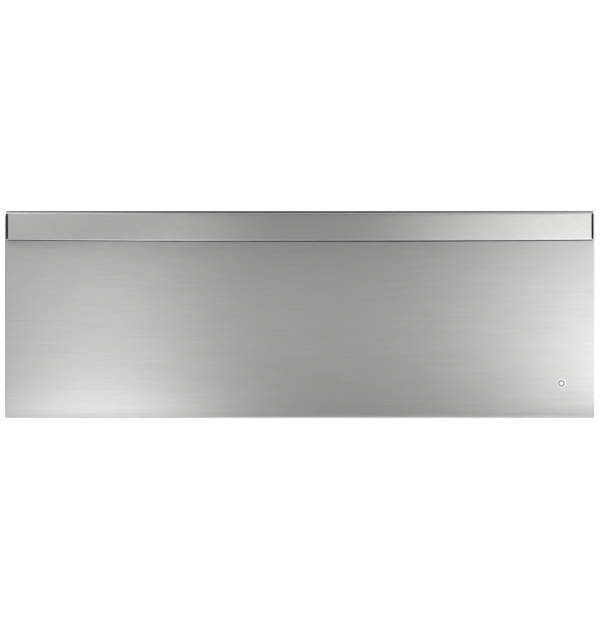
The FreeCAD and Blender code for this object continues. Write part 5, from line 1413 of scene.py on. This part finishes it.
@dataclass
class Insulation:
    """Mineral-wool blankets: the CAD pads, felted and uneven."""

    voxel: float = 7 * MM
    sink: float = 1.6 * MM
    weld: float = 0.01 * MM
    swell: float = 1.8
    phase: float = 1.7
    pads: tuple[tuple[str, str, str], ...] = (
        ("wool_blanket", "insulation_wrap", "casing"),
        ("wool_base_pads", "insulation_base", "casing"),
        ("wool_back_pad", "insulation_back", "casing"),
        ("wool_door_pad", "door_insulation", "drawer"),
    )
    # the ways that the waves run, in radians per metre
    ways: tuple[Point, ...] = ((71, 23, 41), (-37, 83, 29), (19, -61, 97), (113, 89, -53), (167, -131, 149))

    def felted(self, name: str, node: str) -> bpy.types.Object:
        """The pad's solid in even cells, each point sunk by a slow uneven wave.

        The wave is the mean of sines along the ways, each a phase later, times swell and held to
        -1..1. A point moves inwards by the share (1 + wave) / 2 of sink.

        Args:
            name: the piece's name.
            node: the CAD node.

        Returns:
            The pad.
        """
        copy = frame["nodes"][node].data.copy()
        solid = bmesh.new()
        solid.from_mesh(copy)
        bmesh.ops.remove_doubles(solid, verts=solid.verts, dist=self.weld)
        solid.to_mesh(copy)
        solid.free()
        blank = put(name + "_blank", copy)
        cells = blank.modifiers.new("cells", "REMESH")
        cells.mode = "VOXEL"
        cells.voxel_size = self.voxel
        mesh = finished(name, blank)
        points, normals = np.empty((2, len(mesh.vertices) * 3))
        mesh.vertices.foreach_get("co", points)
        mesh.vertices.foreach_get("normal", normals)
        points, normals = points.reshape(-1, 3), normals.reshape(-1, 3)
        phases = np.arange(len(self.ways)) * self.phase
        wave = np.sin(points @ np.array(self.ways, float).T + phases).mean(axis=1, keepdims=True)
        points -= normals * self.sink * (0.5 + 0.5 * np.clip(self.swell * wave, -1, 1))
        mesh.vertices.foreach_set("co", points.ravel())
        mesh.shade_smooth()
        mesh.update()
        return put(name, mesh)

    def build(self, shop: Workshop) -> None:
        """Lays the wool in the casing and the front."""
        for name, node, body in self.pads:
            shop.settle(self.felted(name, node), body, "mineral_wool", node)


# ------------------------------------------------------------------ studio
def staged_sheet(name: str, corners: Sequence[Point]) -> tuple[bpy.types.Object, NodeBench]:
    """Puts up a flat sheet that belongs to the studio.

    Args:
        name: its name.
        corners: its four corners in turn.

    Returns:
        The sheet and the bench of its material.
    """
    mesh = bpy.data.meshes.new(name)
    mesh.from_pydata(corners, [], [(0, 1, 2, 3)])
    material, bench = new_material(name)
    mesh.materials.append(material)
    made = put(name, mesh)
    return made, bench


@dataclass(frozen=True)
class Glow:
    """A soft round patch of light on a screen: strength × e to the power of minus distance², in reaches."""

    name: str
    across: float
    along: float
    reach: Pair
    strength: float


@dataclass(frozen=True)
class Screen:
    """A diffusing screen that only polished things see, with an even tone and patches of light on it."""

    name: str
    near: Point
    far: Point
    tone: float
    glows: tuple[Glow, ...] = ()
    endless: float = 1000.0

    def build(self) -> None:
        """Stretches the screen between its two corners and lights its patches."""
        (x0, y0, z0), (x1, y1, z1) = self.near, self.far
        upright = z1 > z0
        between = ((x1, y1, z0), (x0, y0, z1)) if upright else ((x1, y0, z0), (x0, y1, z1))
        made, bench = staged_sheet(self.name, [self.near, between[0], self.far, between[1]])
        where = bench.add("TexCoord").outputs["Object"]
        light = bench.sum("ADD", self.tone, 0.0)
        for glow in self.glows:
            wide, tall = glow.reach
            centre, reach = (glow.across, glow.along, 0), (wide, tall, self.endless)
            if upright:
                centre, reach = (glow.across, 0, glow.along), (wide, self.endless, tall)
            place = bench.add("Mapping", vector_type="TEXTURE", in_Vector=where, in_Location=centre,
                              in_Scale=reach)
            far = bench.length(place.outputs["Vector"])
            fall = bench.sum("MULTIPLY", bench.sum("POWER", far, 2.0), -1.0)
            patch = bench.sum("MULTIPLY", bench.sum("EXPONENT", fall), glow.strength)
            light = bench.sum("ADD", patch, light)
        bench.add("OutputMaterial", in_Surface=bench.ordered("Emission", (1, 1, 1, 1), light))
        made.visible_camera = made.visible_diffuse = made.visible_shadow = False


@dataclass
class Studio:
    """A white floor, a soft lamp, screens and a long-lens camera a little above the front."""

    distance: float = 24.0
    tilt_deg: float = 3.8
    picture_height: float = 0.8011
    sensor: float = 36.0
    aim_x: float = 0.0003
    aim_up: float = 0.1096
    middle_z: float = 0.13
    front_y: float = -0.3318
    lamp_at: Point = (0.0, -0.3, 1.9)
    lamp_size: Pair = (2.4, 1.8)
    # in W per square metre of lamp
    lamp_strength: float = 3.6
    sky_light: float = 0.55
    floor_z: float = -0.0042
    floor_half: float = 60.0
    floor_glow: float = 0.62
    floor_paint: float = 0.8
    screens: tuple[Screen, ...] = (
        Screen("scrim", (-1.6, -1.2, -0.003), (1.6, -1.2, 1.3), 0.0, (
            Glow("high_left", -0.70, 0.80, (0.35, 0.35), 3.0),
            Glow("mid_left", -0.62, 0.38, (0.16, 0.20), 0.45),
            Glow("low_left", -0.25, 0.0, (0.12, 0.12), 3.0),
            Glow("low_middle", 0.02, 0.0, (0.10, 0.12), 1.3),
            Glow("low_right", 0.30, 0.0, (0.14, 0.12), 2.6),
            Glow("right_foot", 0.55, 0.0, (0.18, 0.15), 3.0),
            Glow("right_wall", 1.0, 0.15, (0.40, 0.30), 1.7),
            Glow("high_right", 0.60, 0.80, (0.30, 0.35), 0.8),
        )),
        # the mat stops short of the open drawer's front
        Screen("floor_mat", (-1.6, -0.84, -0.003), (1.6, -0.335, -0.003), 0.34, (
            Glow("near_left", -0.27, -0.40, (0.165, 0.08), 1.45),
            Glow("far_left", -0.27, -0.62, (0.15, 0.15), 0.9),
            Glow("far_right", 0.45, -0.62, (0.14, 0.18), 2.1),
            Glow("edge_right", 0.66, -0.62, (0.16, 0.20), 3.0),
        )),
        Screen("canopy", (-3.0, -1.6, 2.0), (3.0, 3.0, 2.0), 0.6, (
            Glow("canopy_right", 0.5, 0.0, (0.25, 2.0), 0.4),
        )),
        Screen("left_flag", (-1.7, -1.2, -0.003), (-1.7, 1.2, 1.8), 0.2),
        Screen("right_panel", (1.7, -1.2, -0.003), (1.7, 1.2, 1.8), 1.2),
    )

    def aim(self, made: bpy.types.Object, way: Vector) -> None:
        """Turns a camera or a lamp to look one way, with its top up."""
        made.rotation_mode = "QUATERNION"
        made.rotation_quaternion = way.to_track_quat("-Z", "Y")

    def camera(self) -> None:
        """Stands the camera in front, tilted down, with the picture's height across its long side."""
        data = bpy.data.cameras.new("camera")
        data.sensor_width = self.sensor
        data.lens = self.sensor * self.distance / self.picture_height
        data.clip_start, data.clip_end = 1.0, 200.0
        camera = put("camera", data)
        tilt = math.radians(self.tilt_deg)
        along = Vector((0, math.cos(tilt), -math.sin(tilt)))
        up = Vector((0, math.sin(tilt), math.cos(tilt)))
        depth = self.front_y * math.cos(tilt) - self.middle_z * math.sin(tilt)
        camera.location = Vector((self.aim_x, 0, 0)) + up * self.aim_up + along * (depth - self.distance)
        self.aim(camera, along)
        bpy.context.scene.camera = camera

    def light(self) -> None:
        """Hangs the soft lamp, which lights matt things from above and isn't seen itself."""
        data = bpy.data.lights.new("overhead", "AREA")
        data.shape = "RECTANGLE"
        data.size, data.size_y = self.lamp_size
        data.energy = self.lamp_strength * data.size * data.size_y
        lamp = put("overhead", data)
        lamp.location = self.lamp_at
        self.aim(lamp, -Vector(self.lamp_at))
        lamp.visible_camera = lamp.visible_glossy = False

    def sky(self) -> None:
        """A white world for what looks at it straight or in metal, dimmer as light on matt things."""
        world = bpy.data.worlds.new("world")
        bpy.context.scene.world = world
        world.use_nodes = True
        bench = NodeBench(world.node_tree)
        light = bench.spread(bench.looked_at(), self.sky_light, 1.0)
        bench.add("OutputWorld", in_Surface=bench.ordered("Background", (1, 1, 1, 1), light))

    def floor(self) -> None:
        """A wide pale floor that reads white, keeps a soft shadow and is clear from below."""
        half, z = self.floor_half, self.floor_z
        _, bench = staged_sheet("floor", [(half * x, half * y, z) for x, y in
                                          ((-1, -1), (1, -1), (1, 1), (-1, 1))])
        paint = bench.ordered("BsdfDiffuse", (*[self.floor_paint] * 3, 1))
        glow = bench.ordered("Emission", (1, 1, 1, 1), bench.spread(bench.looked_at(), 0.0, self.floor_glow))
        below, clear = bench.add("NewGeometry").outputs["Backfacing"], bench.ordered("BsdfTransparent")
        one_sided = bench.ordered("MixShader", below, bench.ordered("AddShader", paint, glow), clear)
        bench.add("OutputMaterial", in_Surface=one_sided)

    def build(self) -> None:
        """Sets up everything that isn't the object."""
        bpy.context.scene.view_settings.view_transform = "Standard"
        self.camera()
        self.light()
        self.sky()
        self.floor()
        for screen in self.screens:
            screen.build()


def main() -> None:
    """Dresses the frame, adds the detail pieces and sets up the studio."""
    logging.basicConfig(level=logging.INFO, format="%(name)s: %(message)s")
    finishes = FinishBook()
    finishes.dress_frame()
    shop = Workshop(finishes)
    for part in (Badge(), HandleSkin(), HandleShadeLip(), Fasteners(), Seals(), Pan(), Rack(), ControlMarks(),
                 Insulation()):
        part.build(shop)
    Studio().build()


if __name__ == "__main__":
    main()
